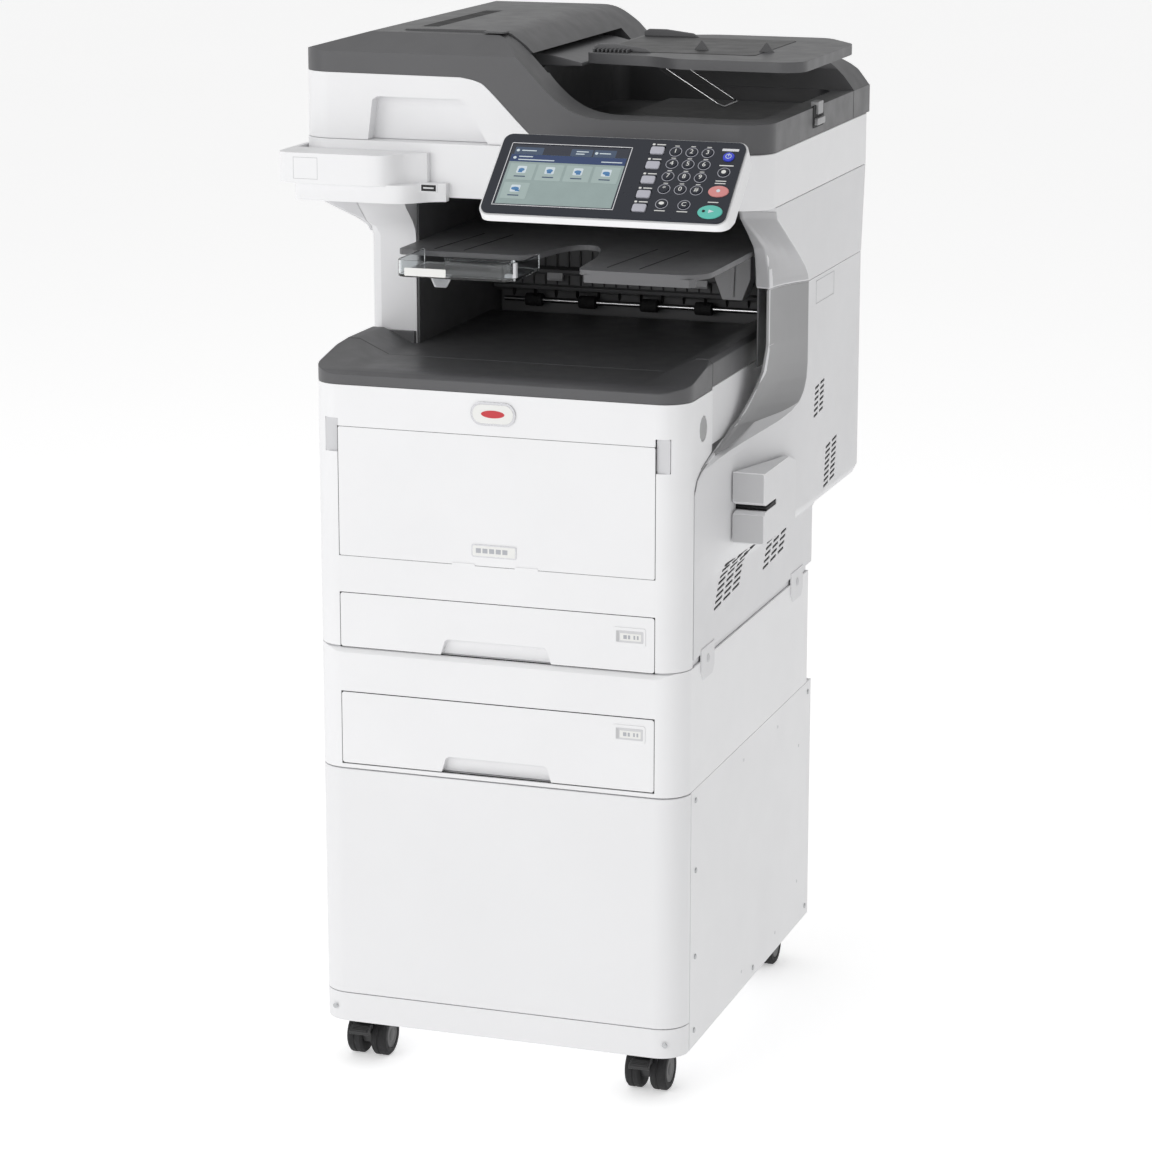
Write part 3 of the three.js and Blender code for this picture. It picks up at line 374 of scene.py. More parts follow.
def boxes(name, material, body, slot, places, bevel=0.0):
    """A piece made of boxes, each given as x0, x1, y0, y1, z0, z1."""
    shape = Shape()
    for place in places:
        shape.box(*place)
    shape.piece(name, material, body, slot, bevel)


def rounded(a0, a1, b0, b1, radius, steps=6):
    """A rectangle with round corners, anticlockwise; radius is one number or one per corner."""
    radii = [radius] * 4 if isinstance(radius, (int, float)) else radius
    corners = [(a0, b0, 1, 1, 180), (a1, b0, -1, 1, 270), (a1, b1, -1, -1, 0), (a0, b1, 1, -1, 90)]
    points = []
    for (a, b, to_a, to_b, start), r in zip(corners, radii):
        if r == 0:
            points.append((a, b))
            continue
        for k in range(steps + 1):
            turn = math.radians(start + 90 * k / steps)
            points.append((a + to_a * r + r * math.cos(turn), b + to_b * r + r * math.sin(turn)))
    return points


def oval(a, b, half_a, half_b, steps=32):
    return [(a + half_a * math.cos(2 * math.pi * k / steps),
             b + half_b * math.sin(2 * math.pi * k / steps)) for k in range(steps)]


def capsule(a, b, half, radius, tilt=0.0, steps=6):
    """A slot with round ends, centred on (a, b) and tilted by an angle in degrees."""
    turn = math.radians(tilt)
    points = rounded(-half, half, -radius, radius, radius * 0.98, steps)
    return [(a + p * math.cos(turn) - q * math.sin(turn),
             b + p * math.sin(turn) + q * math.cos(turn)) for p, q in points]


def clean(piece, merge_flats=True):
    """Drops the imported shading, joins the facets' corners and merges flat neighbours."""
    attributes = piece.data.attributes
    for name in ("custom_normal", "sharp_edge", "sharp_face"):
        if name in attributes:
            attributes.remove(attributes[name])
    weld = piece.modifiers.new("weld", "WELD")
    weld.merge_threshold = WELD_DISTANCE
    if merge_flats:
        flat = piece.modifiers.new("flat", "DECIMATE")
        flat.decimate_type = "DISSOLVE"
        flat.angle_limit = FLAT_ANGLE


def dress(node, material, bevel=0.8, segments=2, merge_flats=True):
    """Keeps a CAD node's shape: cleans its facets, rounds its edges and gives it a finish."""
    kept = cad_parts[node]
    kept.data.materials.clear()
    kept.data.materials.append(materials[material])
    clean(kept, merge_flats)
    soften(kept, bevel, segments)


def surface(node):
    """A tree for finding where a ray meets a CAD node."""
    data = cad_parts[node].data
    data.calc_loop_triangles()
    return BVHTree.FromPolygons([v.co for v in data.vertices],
                                [t.vertices for t in data.loop_triangles])


def hit_right(tree, y, z):
    """Where a ray from the right meets the surface: x in millimetres."""
    start = BASE + Vector((RIGHT_OF_ALL, y, z)) * MM
    return millimetres(tree.ray_cast(start, Vector((-1, 0, 0)))[0]).x


def finished(made, material, body, bevel, segments=2):
    """A piece's finish, rounding, moving body and material slot."""
    made.data.materials.append(materials[material])
    soften(made, bevel, segments)
    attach(made, body)
    return made


def carve(node, cutter, name, material, body, bevel=0.0):
    """A new piece: the CAD node with the cutter's solids taken out of it."""
    made = linked(name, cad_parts[node].data.copy())
    clean(made)
    tool = linked(name + "_tool", cutter.mesh(name + "_tool"))
    take = made.modifiers.new("take", "BOOLEAN")
    take.operation = "DIFFERENCE"
    take.solver = "EXACT"
    take.object = tool
    bpy.context.view_layer.update()
    evaluated = made.evaluated_get(bpy.context.evaluated_depsgraph_get())
    made.data = bpy.data.meshes.new_from_object(evaluated)
    made.modifiers.clear()
    bpy.data.objects.remove(tool)
    made.data.materials.clear()
    finished(made, material, body, bevel)
    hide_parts(node)


# ---- carried-over CAD pieces


def dress_cad_nodes():
    """Finish and edge rounding for every CAD node that keeps its shape."""
    looks = {
        "painted_sheet": (0.8, ["cabinet_base", "cabinet_left_side", "cabinet_right_side",
                                "cabinet_back", "cabinet_top", "cabinet_shelf", "cabinet_door"]),
        "white_plastic": (1.0, ["front_cover", "scanner_body", "feeder_base",
                                "tray_unit_housing"]),
        "shell_plastic": (1.0, ["left_cover", "right_cover", "rear_cover", "right_side_cover",
                                "neck_left", "neck_right", "neck_rear"]),
        "trim_grey": (0.6, ["release_button"]),
        "foam_white": (0.6, ["platen_pad"]),
        "dark_plastic": (1.1, ["front_cover_lip", "top_cover", "feeder_top", "feeder_cover"]),
        "deep_plastic": (1.0, ["exit_housing", "bay_wall", "upper_tray", "neck_liner"]),
        "black_plastic": (0.7, ["power_inlet", "drum_basket", "transfer_belt", "fuser_unit",
                                "scan_carriage"]),
        "zinc_steel": (0.6, ["engine_frame"]),
        "clear_glass": (0.4, ["platen_glass"]),
        "clear_plastic": (0.7, ["clear_tray"]),
        "screen_dark": (0.2, ["panel_screen"]),
    }
    for material, (bevel, names) in looks.items():
        for name in names:
            dress(name, material, bevel)
    dress("left_shelf", "white_plastic", 3.4, 4)
    dress("side_grip", "shell_plastic", 2.2, 3)
    for name in ("bypass_door", "upper_drawer", "lower_drawer"):
        dress(name, "white_plastic", 1.0, merge_flats=False)
    dress("input_tray", "dark_plastic", 0.9, merge_flats=False)
    dress("panel_housing", "white_plastic", 1.2, 3, merge_flats=False)
    dress("panel_fascia", "panel_face", 0.3, merge_flats=False)


# ---- casters


def caster(name):
    """Twin wheels with grooved treads and hub caps, a hooded fork, and a brake on the front."""
    fork = f"caster_{name}_fork"
    wheels = f"caster_{name}_wheels"
    dress(fork, "black_plastic", 1.2, 3)
    x0, x1, y0, y1, z0, z1 = edges(wheels)
    radius = (z1 - z0) / 2
    centre = ((x0 + x1) / 2, (y0 + y1) / 2, (z0 + z1) / 2)
    width = 18.0
    tread = [(4.2, 0), (radius - 9, 0), (radius - 8, -1.2), (radius - 3, -1.2), (radius, 1.6),
             (radius, width * 0.42), (radius - 1.1, width * 0.46), (radius - 1.1, width * 0.54),
             (radius, width * 0.58), (radius, width - 2.6), (radius - 2.6, width), (4.2, width)]
    ends = ((x1 - centre[0], -1), (x0 - centre[0], 1))
    pair = Shape()
    for start, sign in ends:
        profile = [(r, start + sign * (a + 1.2)) for r, a in tread]
        if sign < 0:
            profile = profile[::-1]
        pair.turned(profile, "x", centre, 48)
    pair.turned([(4, x0 - centre[0] + 3), (4, x1 - centre[0] - 3)], "x", centre, 20)
    made = pair.piece(f"{name}_wheel_pair", "black_rubber", wheels, "black_rubber", 0.3)
    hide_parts(wheels)
    rings = [(radius - 9.5, 1.4), (radius - 9.5, 0.6), (radius - 11, 0.4), (9, 1.0), (7, 0.5),
             (6, 0.2), (0.5, 0.2)]
    caps = Shape()
    for start, sign in ends:
        profile = [(r, start + sign * a) for r, a in rings]
        caps.turned(profile if sign < 0 else profile[::-1], "x", centre, 40)
    caps.piece(f"{name}_hub_caps", "black_plastic", wheels, "black_plastic", 0.2)
    stem_x = (edges(fork)[0] + edges(fork)[1]) / 2
    stem_y = edges(fork)[2] + 20
    plate(f"{name}_mount_plate", "zinc_steel", "machine", "zinc_steel",
          rounded(stem_x - 21, stem_x + 21, stem_y - 21, stem_y + 21, 4), "z", -2.6, -0.5,
          bevel=0.4)
    bolts = Shape()
    for dx in (-15.5, 15.5):
        for dy in (-15.5, 15.5):
            bolts.prism(oval(stem_x + dx, stem_y + dy, 3.6, 3.6, 6), "z", -5.4, -2.5)
    bolts.piece(f"{name}_mount_bolts", "zinc_steel", "machine", "zinc_steel", 0.3)
    if name.startswith("front"):
        pedal = Shape()
        pedal.prism([(stem_y - 21, -9.5), (stem_y - 30, -14), (stem_y - 31, -17.5),
                     (stem_y - 27, -18.5), (stem_y - 19, -14)], "x", stem_x - 12, stem_x + 12)
        for k in range(4):
            y = stem_y - 22.5 - 2 * k
            pedal.box(stem_x - 10, stem_x + 10, y - 0.5, y + 0.5, -10.8 - k, -9 - k)
        pedal.piece(f"{name}_brake_pedal", "black_plastic", fork, "black_plastic", 0.6)


# ---- drawers, badge and plates


def drawer_window(drawer, low):
    """The paper-size window at the right of a drawer front: a frame, a seat and a card."""
    y = edges(drawer)[2]
    plate(f"{drawer}_window_frame", "white_plastic", drawer, "white_plastic",
          rounded(142, 180, low, low + 21, 2.5), "y", y - 0.9, y + 0.4, bevel=0.5)
    plate(f"{drawer}_window_seat", "soft_grey", drawer, "white_plastic",
          rounded(145, 177.5, low + 3.6, low + 17.4, 1.2), "y", y - 1.15, y - 0.5, bevel=0.15)
    plate(f"{drawer}_size_card", "label_paper", drawer, "white_plastic",
          rounded(150, 175, low + 6, low + 14.5, 0.8), "y", y - 1.35, y - 0.9, bevel=0.1)
    boxes(f"{drawer}_card_tab", "grey_plastic", drawer, "dark_plastic",
          [(145.6, 148.4, y - 1.4, y - 0.9, low + 4.6, low + 16.4)], 0.1)
    boxes(f"{drawer}_card_marks", "print_ink", drawer, "dark_plastic",
          [(x0, x1, y - 1.45, y - 1.25, low + 8, low + 12.4)
           for x0, x1 in ((154, 158), (159.5, 162), (166, 168), (170, 172))])


def badges():
    """An oval badge with a plain mark, and a plate and hinge tabs on the bypass door."""
    plate("badge_rim", "silver_rim", "front_cover", "bright_steel",
          rounded(-28, 26, 733, 760, 13.2, 12), "y", -1.6, 0.5, bevel=0.6, segments=3)
    plate("badge_face", "label_paper", "front_cover", "white_plastic",
          rounded(-25.2, 23.2, 735.8, 757.2, 10.5, 12), "y", -2.0, -1.2, bevel=0.3)
    plate("badge_mark", "badge_red", "front_cover", "pink_key",
          oval(-1, 746.5, 14, 4.4, 40), "y", -2.15, -1.7, bevel=0.1)
    plate("door_plate", "silver_rim", "bypass_door", "bright_steel",
          rounded(-28, 26, 580, 595, 2.0), "y", -0.7, 0.4, bevel=0.25)
    plate("door_plate_inlay", "label_paper", "bypass_door", "white_plastic",
          rounded(-26.5, 24.5, 581.6, 593.4, 1.2), "y", -0.85, -0.4, bevel=0.1)
    boxes("door_plate_marks", "print_ink", "bypass_door", "dark_plastic",
          [(x - 2.6, x + 3.4, -0.95, -0.7, 585, 590.4) for x in (-20, -12, -4, 4, 12)])
    plates("door_hinge_tabs", "white_plastic", "bypass_door", "white_plastic",
           [rounded(x - 14, x + 14, 568.8, 571.6, 1.2) for x in (-38, 38)], "y", -0.9, 1.4,
           bevel=0.3)


def front_gap_shade():
    """Dark lines low in the gaps round the bypass door and the two drawer fronts: painted shade in
    the gaps.
    """
    half = 0.75
    for node in ("bypass_door", "upper_drawer", "lower_drawer"):
        x0, x1, _, _, z0, z1 = edges(node)
        gaps = ((x0, x0, z0, z1), (x1, x1, z0, z1), (x0, x1, z0, z0), (x0, x1, z1, z1))
        # near-black strips inside the gaps are painted shade
        boxes(f"{node}_seam", "shadow_gap", "machine", "black_plastic",
              [(a0 - half, a1 + half, 0.5, 1.0, b0 - half, b1 + half) for a0, a1, b0, b1 in gaps])


def finger_pockets():
    """The scooped pockets beside the bypass door that a hand pulls it down by."""
    for side, name in ((-1, "left"), (1, "right")):
        x0, x1 = sorted((side * 190.6, side * 206.6))
        # each pocket's floor is a greyer plate than the cover: painted shade in the scoop
        plate(f"finger_pocket_{name}", "soft_grey", "front_cover", "shell_plastic",
              rounded(x0, x1, 688, 733, 6), "y", 3.2, 13, bevel=0.8)


# ---- the right side

RIGHT = surface("right_side_cover")


def slot_rows(cutter, inlay, corner, step_y, step_z, columns, rows, lean_y, length, height, tilt):
    """Vent slots on the right side, leaning with height, each with a dark floor just inside as
    painted shade.
    """
    y0, z0 = corner
    inside, outside, lap = 6, 4, 0.4
    floor_low, floor_high = 2.4, 0.9
    for row in range(rows):
        for column in range(columns):
            y = y0 + column * step_y + row * lean_y
            z = z0 + row * step_z + column * step_y * math.tan(math.radians(tilt))
            x = hit_right(RIGHT, y, z)
            slot = capsule(y, z, length / 2, height / 2, tilt)
            cutter.prism(slot, "x", x - inside, x + outside)
            # a near-black plate just inside each slot is painted shade for the dark inside
            floor = capsule(y, z, length / 2 + lap, height / 2 + lap, tilt)
            inlay.prism(floor, "x", x - floor_low, x - floor_high)


def right_side():
    """The right cover with its four groups of vents cut through, and the painted shade behind them.
    """
    cutter = Shape()
    inlay = Shape()
    slot_rows(cutter, inlay, (132, 511), 37, 6.6, 3, 8, 4.2, 30, 3.4, 4)
    slot_rows(cutter, inlay, (334, 512), 33, 7.0, 3, 5, 4.4, 26, 3.6, 4)
    slot_rows(cutter, inlay, (396, 604), 29, 6.6, 2, 8, 1.2, 23, 3.6, 6)
    slot_rows(cutter, inlay, (344, 699), 24, 6.6, 2, 6, 1.0, 19, 3.5, 6)
    carve("right_side_cover", cutter, "right_cover_shell", "shell_plastic", "machine",
          0.5)
    # the plates behind the vents are painted shade
    inlay.piece("vent_shade_liner", "shadow_gap", "machine", "black_plastic")
    outer, inner = ENGINE_HALF - 2.6, ENGINE_HALF - 6
    boxes("engine_skirt", "shell_plastic", "machine", "shell_plastic",
          [(x0, x1, 44, 530, 460.9, 469.2) for x0, x1 in ((inner, outer), (-outer, -inner))], 0.4)


def hit_front(tree, x, z):
    """Where a ray from the front meets the surface, and how far that face looks forward."""
    start = BASE + Vector((x, FRONT_OF_ALL, z)) * MM
    point, normal = tree.ray_cast(start, Vector((0, 1, 0)))[:2]
    return (millimetres(point).y, -normal.y) if point else (None, 0)


def evened(values, reach=3):
    """Each value averaged with its neighbours."""
    runs = [values[max(i - reach, 0):i + reach + 1] for i in range(len(values))]
    return [sum(run) / len(run) for run in runs]


def shade_band(name, node, material, side, tail, low, high):
    """Painted shade: a grey skin laid over the swept front face of the CAD node; below its tail it
    tapers off.
    """
    step, columns, cover, depth = 2, 24, 0.6, 0.8
    steep, shallow = 0.3, 0.05
    half_millimetres = range(2 * 225, 2 * 281 + 1)
    tree = surface(node)
    found = []
    width = 0
    for k in range(int((high - low) / step)):
        z = high - k * step
        forward = steep if z >= tail else shallow
        places = [side * x / 2 for x in half_millimetres]
        seen = sorted(x for x in places if hit_front(tree, x, z)[1] > forward)
        if len(seen) < 3:
            continue
        first, last = seen[0], seen[-1]
        if z >= tail:
            width = last - first
        else:
            last = min(last, first + width * (z - low) / (tail - low))
        found.append((z, first, last))
    lefts = [left - cover for left in evened([first for _, first, _ in found])]
    rights = evened([last for _, _, last in found])
    rows = []
    for (z, first, last), left, right in zip(found, lefts, rights):
        xs = [left + (right - left) * i / (columns - 1) for i in range(columns)]
        rows.append([(x, hit_front(tree, min(max(x, first), last), z)[0], z) for x in xs])
    skin = [(x, y - cover, z) for row in rows for x, y, z in row]
    back = [(x, y + depth, z) for row in rows for x, y, z in row]
    count = len(skin)
    faces = []
    for r in range(len(rows) - 1):
        for c in range(columns - 1):
            a, b = r * columns + c, r * columns + c + 1
            faces.append([a, a + columns, b + columns, b])
            faces.append([count + a, count + b, count + b + columns, count + a + columns])
    around = list(range(columns)) + [r * columns + columns - 1 for r in range(1, len(rows))]
    around += [(len(rows) - 1) * columns + c for c in range(columns - 2, -1, -1)]
    around += [r * columns for r in range(len(rows) - 2, 0, -1)]
    for a, b in zip(around, around[1:] + around[:1]):
        faces.append([a, b, count + b, count + a])
    Shape().add(skin + back, faces).piece(name, material, "machine", "shell_plastic")


def swept_edge():
    """Painted shade: grey skins on the face that sweeps from the scanner down to the engine's side
    and on the necks, and a service cap's seam.
    """
    # grey skins laid over the white shell are painted shade where these faces fall dark
    shade_band("sweep_painted_shade", "right_side_cover", "trim_grey", 1, 690, 662, 865)
    shade_band("neck_painted_shade", "neck_right", "grey_plastic", 1, 867, 866, 966)
    shade_band("neck_left_painted_shade", "neck_left", "soft_grey", -1, 906, 905, 966)
    boxes("service_cap_seam", "grey_plastic", "machine", "shell_plastic",
          [(OUTER - 0.5, OUTER + 0.2, *strip) for strip in strips(337, 419, 833, 860.8, 0.8)])


def grip_face():
    """The greyer front of the hand grip's two blocks, and a dark box in the slot between them as
    painted shade.
    """
    x0, x1, y0, _, z0, z1 = edges("side_grip")
    slot_low, slot_high, slot_end = 625.7, 632.3, 178.4
    plates("grip_front", "grey_plastic", "machine", "grey_keys",
           [rounded(x0 + 1, x1 - 1.2, low, high, 1.5)
            for low, high in ((z0 + 1.2, slot_low - 4.2), (slot_high + 4.2, z1 - 1.2))],
           "y", y0 - 0.3, y0 + 0.6, bevel=0.3)
    # a near-black box down in the slot is painted shade
    boxes("grip_slot_shade", "shadow_gap", "machine", "black_plastic",
          [(x0 + 2, x1 - 0.8, y0 + 10, slot_end, slot_low, slot_high)])


def side_clips():
    """Flat clips that tie the tray unit to the engine, with screw heads."""
    x = ENGINE_HALF
    plates("side_clips", "shell_plastic", "machine", "shell_plastic",
           [[(y0, 475), (y0, 448), (y0 + 10, 437), (y1 - 8, 437), (y1, 446), (y1, 475)]
            for y0, y1 in ((66, 118), (449, 503))], "x", x - 0.6, x + 1.6, bevel=0.6)
    heads = Shape()
    for y in (92, 476):
        heads.turned([(5.2, 1.0), (5.2, 2.0), (4.4, 2.5), (0.5, 2.5)], "x", (x, y, 459), 28)
        heads.prism(capsule(y, 459, 3.4, 0.7, 35), "x", x + 2.3, x + 2.8)
    heads.piece("side_clip_heads", "soft_grey", "machine", "shell_plastic", 0.2)


def cabinet_details():
    """Screws and dimples of the sheet-metal cabinet."""
    x = ENGINE_HALF
    screws = Shape()
    for y, z in ((52, 300), (52, 20), (300, 12), (540, 300), (540, 14), (54, 215), (54, 110)):
        for side in (-1, 1):
            profile = [(3.4, -0.4), (3.4, 0.7), (2.6, 1.3), (0.4, 1.5)]
            if side < 0:
                profile = [(r, -a) for r, a in profile][::-1]
            screws.turned(profile, "x", (side * x, y, z), 20)
    screws.piece("cabinet_screws", "zinc_steel", "machine", "zinc_steel", 0.15)
    dimples = ((250, 292), (400, 292), (250, 24), (400, 24), (500, 240), (500, 60))
    turnings("cabinet_dimples", "soft_grey", "machine", "painted_sheet",
             [(2.2, -0.5), (2.2, 0.25), (0.5, 0.25)], "x", [(x, y, z) for y, z in dimples], 16, 0.1)
    turnings("base_screws", "zinc_steel", "machine", "zinc_steel",
             [(0.4, -1.0), (2.4, -0.9), (3.2, -0.5), (3.2, 0.4)], "y",
             [(-205, 1.0, 17), (205, 1.0, 17)], 20, 0.15)

# ---- control panel

PANEL_LEAN = math.radians(39.8)
PANEL_WIDTH = 278
PANEL_HEIGHT = 117
SCREEN_FLOOR = -0.8

fascia_low, fascia_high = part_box("panel_fascia")
panel_centre = millimetres((fascia_low + fascia_high) / 2)
panel_centre += Vector((0, -math.sin(PANEL_LEAN), math.cos(PANEL_LEAN)))
PANEL = Matrix.Translation(panel_centre) @ Matrix.Rotation(PANEL_LEAN, 4, "X")


def across(value):
    return value - PANEL_WIDTH / 2


def down(value):
    return PANEL_HEIGHT / 2 - value


def patch(shape, a0, a1, d0, d1, z0, z1, radius=0.8):
    """A thin plate on the panel, from its distances across and down."""
    shape.prism(rounded(across(a0), across(a1), down(d1), down(d0), radius, 4), "z", z0, z1)


def digits(shape, text, a, d, size, z):
    """Digits as thin solids, centred on a place on the panel."""
    curve = bpy.data.curves.new("digit", "FONT")
    curve.body = text
    curve.size = size
    curve.extrude = 0.06
    curve.align_x = "CENTER"
    curve.align_y = "CENTER"
    letter = linked("digit", curve)
    bpy.context.view_layer.update()
    evaluated = letter.evaluated_get(bpy.context.evaluated_depsgraph_get())
    data = bpy.data.meshes.new_from_object(evaluated)
    shape.add([(v.co.x + across(a), v.co.y + down(d), v.co.z + z) for v in data.vertices],
              [list(p.vertices) for p in data.polygons])
    bpy.data.objects.remove(letter)
    bpy.data.meshes.remove(data)


def screen():
    """A generic home page: dark tabs, a blue header and pale tiles with abstract icons."""
    z = SCREEN_FLOOR
    layers = (
        ("screen_page", "screen_base", 0, 0.12, 0.3, [(14.6, 147.6, 17, 103)]),
        ("screen_tab_row", "screen_dark", 0.1, 0.2, 0.3, [(14.6, 147.6, 17, 29.6)]),
        ("screen_tabs", "screen_tab", 0.2, 0.28, 1.0,
         [(17, 50, 19, 29.6), (82, 107, 19, 29.6), (108.5, 134, 19, 29.6)]),
        ("screen_header_bar", "screen_header", 0.1, 0.24, 0.3, [(14.6, 147.6, 29.8, 40.5)]),
    )
    for name, material, low, high, radius, places in layers:
        layer = Shape(PANEL)
        for place in places:
            patch(layer, *place, z + low, z + high, radius)
        layer.piece(name, material, "control_panel", "screen_glass")
    words = Shape(PANEL)
    for a0, a1, d in ((25, 42, 24), (88, 102, 22.5), (88, 98, 26), (115, 128, 24), (24, 40, 33),
                      (24, 66, 37.6), (120, 144, 36.4)):
        patch(words, a0, a1, d - 0.7, d + 0.7, z + 0.24, z + 0.34, 0.3)
    for a, d in ((20.5, 24), (19.5, 35), (111.5, 24)):
        words.prism(oval(across(a), down(d), 1.9, 1.9, 16), "z", z + 0.24, z + 0.34)
    words.piece("screen_marks", "screen_icon_pale", "control_panel", "screen_glass")
    spots = [(17.5 + 32.6 * i, 43.5) for i in range(4)] + [(17.5, 71.5)]
    tiles, icons, pale, names = (Shape(PANEL) for _ in range(4))
    for i, (a, d) in enumerate(spots):
        patch(tiles, a, a + 29.6, d, d + 24, z + 0.12, z + 0.22, 1.2)
        patch(pale, a + 9, a + 20, d + 3.5, d + 14, z + 0.2, z + 0.3, 1.5)
        icons.prism(oval(across(a + 14.5), down(d + 9), 3.4 + 0.3 * i, 2.4, 20), "z",
                    z + 0.28, z + 0.36)
        patch(icons, a + 11 + i, a + 16 + i, d + 10.5, d + 13, z + 0.28, z + 0.36, 0.5)
        patch(names, a + 8, a + 21, d + 18, d + 19.6, z + 0.2, z + 0.3, 0.4)
    for shape, name, material in ((tiles, "screen_tiles", "screen_tile"),
                                  (pale, "screen_icon_grounds", "screen_icon_pale"),
                                  (icons, "screen_icons", "screen_icon"),
                                  (names, "screen_tile_names", "screen_tab")):
        shape.piece(name, material, "control_panel", "screen_glass")
    frame_line = Shape(PANEL)
    for strip in strips(11.2, 150.8, 13.2, 105.8, 1.0):
        patch(frame_line, *strip, -0.3, 0.12, 0.3)
    frame_line.piece("screen_edge", "silver_rim", "control_panel", "bright_steel", 0.1)


def keycap(shape, outline, z0, z1, crown=0.5):
    """A key with a slightly crowned top made of shrinking outlines."""
    count = len(outline)
    mid_a = sum(a for a, _ in outline) / count
    mid_b = sum(b for _, b in outline) / count
    levels = [(1, z0), (1, z1 - crown), (0.95, z1 - crown * 0.35), (0.8, z1), (0.3, z1 + 0.08)]
    points = [(mid_a + (a - mid_a) * s, mid_b + (b - mid_b) * s, z) for s, z in levels
              for a, b in outline]
    shape.add(points, tube(len(levels), count))


NUMBER_ACROSS = (200.5, 218.8, 237)
NUMBER_DOWN = (17, 35, 53.5, 72)
MODE_ACROSS = 179.5
MODE_DOWN = (16.6, 38.2, 59.8, 81, 101)
ROUND_KEYS = ((203, 93.5), (228.3, 93.8), (261.4, 44.4))


def number_pad():
    keys = Shape(PANEL)
    marks = Shape(PANEL)
    spots = [(a, d) for d in NUMBER_DOWN for a in NUMBER_ACROSS]
    for a, d in [*spots, *ROUND_KEYS]:
        keycap(keys, oval(across(a), down(d), 5.5, 5.5), -5, 1.2)
    made = keys.piece("number_keycaps", "panel_face", "number_keys", "black_plastic", 0.1)
    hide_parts("number_keys")
    for (a, d), text in zip(spots, ("1", "2", "3", "4", "5", "6", "7", "8", "9", "*", "0", "#")):
        digits(marks, text, a, d, 8.5, 1.32)
    marks.prism(oval(across(203), down(93.5), 3.0, 2.2, 20), "z", 1.2, 1.38)
    marks.prism(oval(across(261.4), down(44.4), 2.6, 2.6, 20), "z", 1.2, 1.38)
    digits(marks, "C", 228.3, 93.8, 8, 1.32)
    marks.piece("number_marks", "label_paper", "number_keys", "white_plastic")
    halos = Shape(PANEL)
    for a, d in [*spots, *ROUND_KEYS]:
        ring_solid(halos, a, d, 7.0, 6.35, -0.2, 0.22)
    halos.piece("number_key_rings", "key_grey", "control_panel", "grey_keys", 0.08)


def ring_solid(shape, a, d, outer, inner, z0, z1, steps=36):
    """A flat ring on the panel with a square section."""
    points = []
    for radius, z in ((outer, z0), (outer, z1), (inner, z1), (inner, z0)):
        for k in range(steps):
            turn = 2 * math.pi * k / steps
            points.append((across(a) + radius * math.cos(turn),
                           down(d) + radius * math.sin(turn), z))
    shape.add(points, tube(4, steps, closed=True))


def other_keys():
    modes = Shape(PANEL)
    for d in MODE_DOWN:
        outline = rounded(across(MODE_ACROSS - 7.8), across(MODE_ACROSS + 7.8), down(d + 5.3),
                          down(d - 5.3), 2.2, 5)
        keycap(modes, outline, -5, 1.6, 0.9)
    made = modes.piece("mode_keycaps", "key_grey", "mode_keys", "grey_keys", 0.1)
    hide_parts("mode_keys")
    ovals = (("start_key", "teal_key", 259.5, 102.5, 13.9, 9.6),
             ("stop_key", "pink_key", 262, 72.5, 11.5, 8.0),
             ("power_key", "blue_key", 261.7, 21.9, 6.5, 6.5))
    for name, material, a, d, half_a, half_d in ovals:
        key = Shape(PANEL)
        keycap(key, oval(across(a), down(d), half_a, half_d, 48), -5, 1.6, 1.0)
        made = key.piece(f"{name}cap", material, name, material, 0.1)
        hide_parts(name)
    plate("start_lamp", "shadow_gap", "start_key", "black_plastic",
          oval(across(252.5), down(102.5), 1.8, 1.8, 20), "z", 1.3, 1.95, bevel=0.1, on=PANEL)
    plate("start_mark", "screen_icon_pale", "start_key", "white_plastic",
          [(across(258), down(105)), (across(264), down(102.5)), (across(258), down(100))], "z",
          1.5, 1.9, bevel=0.1, on=PANEL)
    plate("stop_mark", "screen_icon_pale", "stop_key", "white_plastic",
          oval(across(262), down(72.5), 2.2, 2.2, 20), "z", 1.5, 1.9, bevel=0.1, on=PANEL)
    power = Shape(PANEL)
    ring_solid(power, 261.7, 21.9, 3.4, 2.7, 1.4, 1.85, 24)
    power.prism(rounded(across(261.3), across(262.1), down(22), down(18), 0.3), "z", 1.4, 1.9)
    power.piece("power_mark", "screen_icon_pale", "power_key", "white_plastic")
    legends = Shape(PANEL)
    for d in MODE_DOWN:
        patch(legends, 172, 175, d - 10.4, d - 7.8, 0, 0.1, 0.8)
        patch(legends, 177, 187, d - 9.8, d - 8.4, 0, 0.1, 0.3)
    for a, d in ((261, 57), (261, 60.5), (259.5, 88), (203, 103.5), (228.3, 103.5)):
        patch(legends, a - 6, a + 6, d - 0.6, d + 0.6, 0, 0.1, 0.3)
    for a in NUMBER_ACROSS:
        for d in NUMBER_DOWN:
            patch(legends, a - 2.6, a + 2.6, d - 8.9, d - 8.0, 0, 0.1, 0.2)
    patch(legends, 254, 270, 33.6, 35, 0, 0.1, 0.3)
    legends.piece("panel_legends", "label_paper", "control_panel", "white_plastic")
    tag = Shape(PANEL)
    patch(tag, 252, 271, 9.5, 13, 0, 0.14, 0.8)
    tag.piece("power_legend", "silver_rim", "control_panel", "bright_steel", 0.05)


# ---- output bay


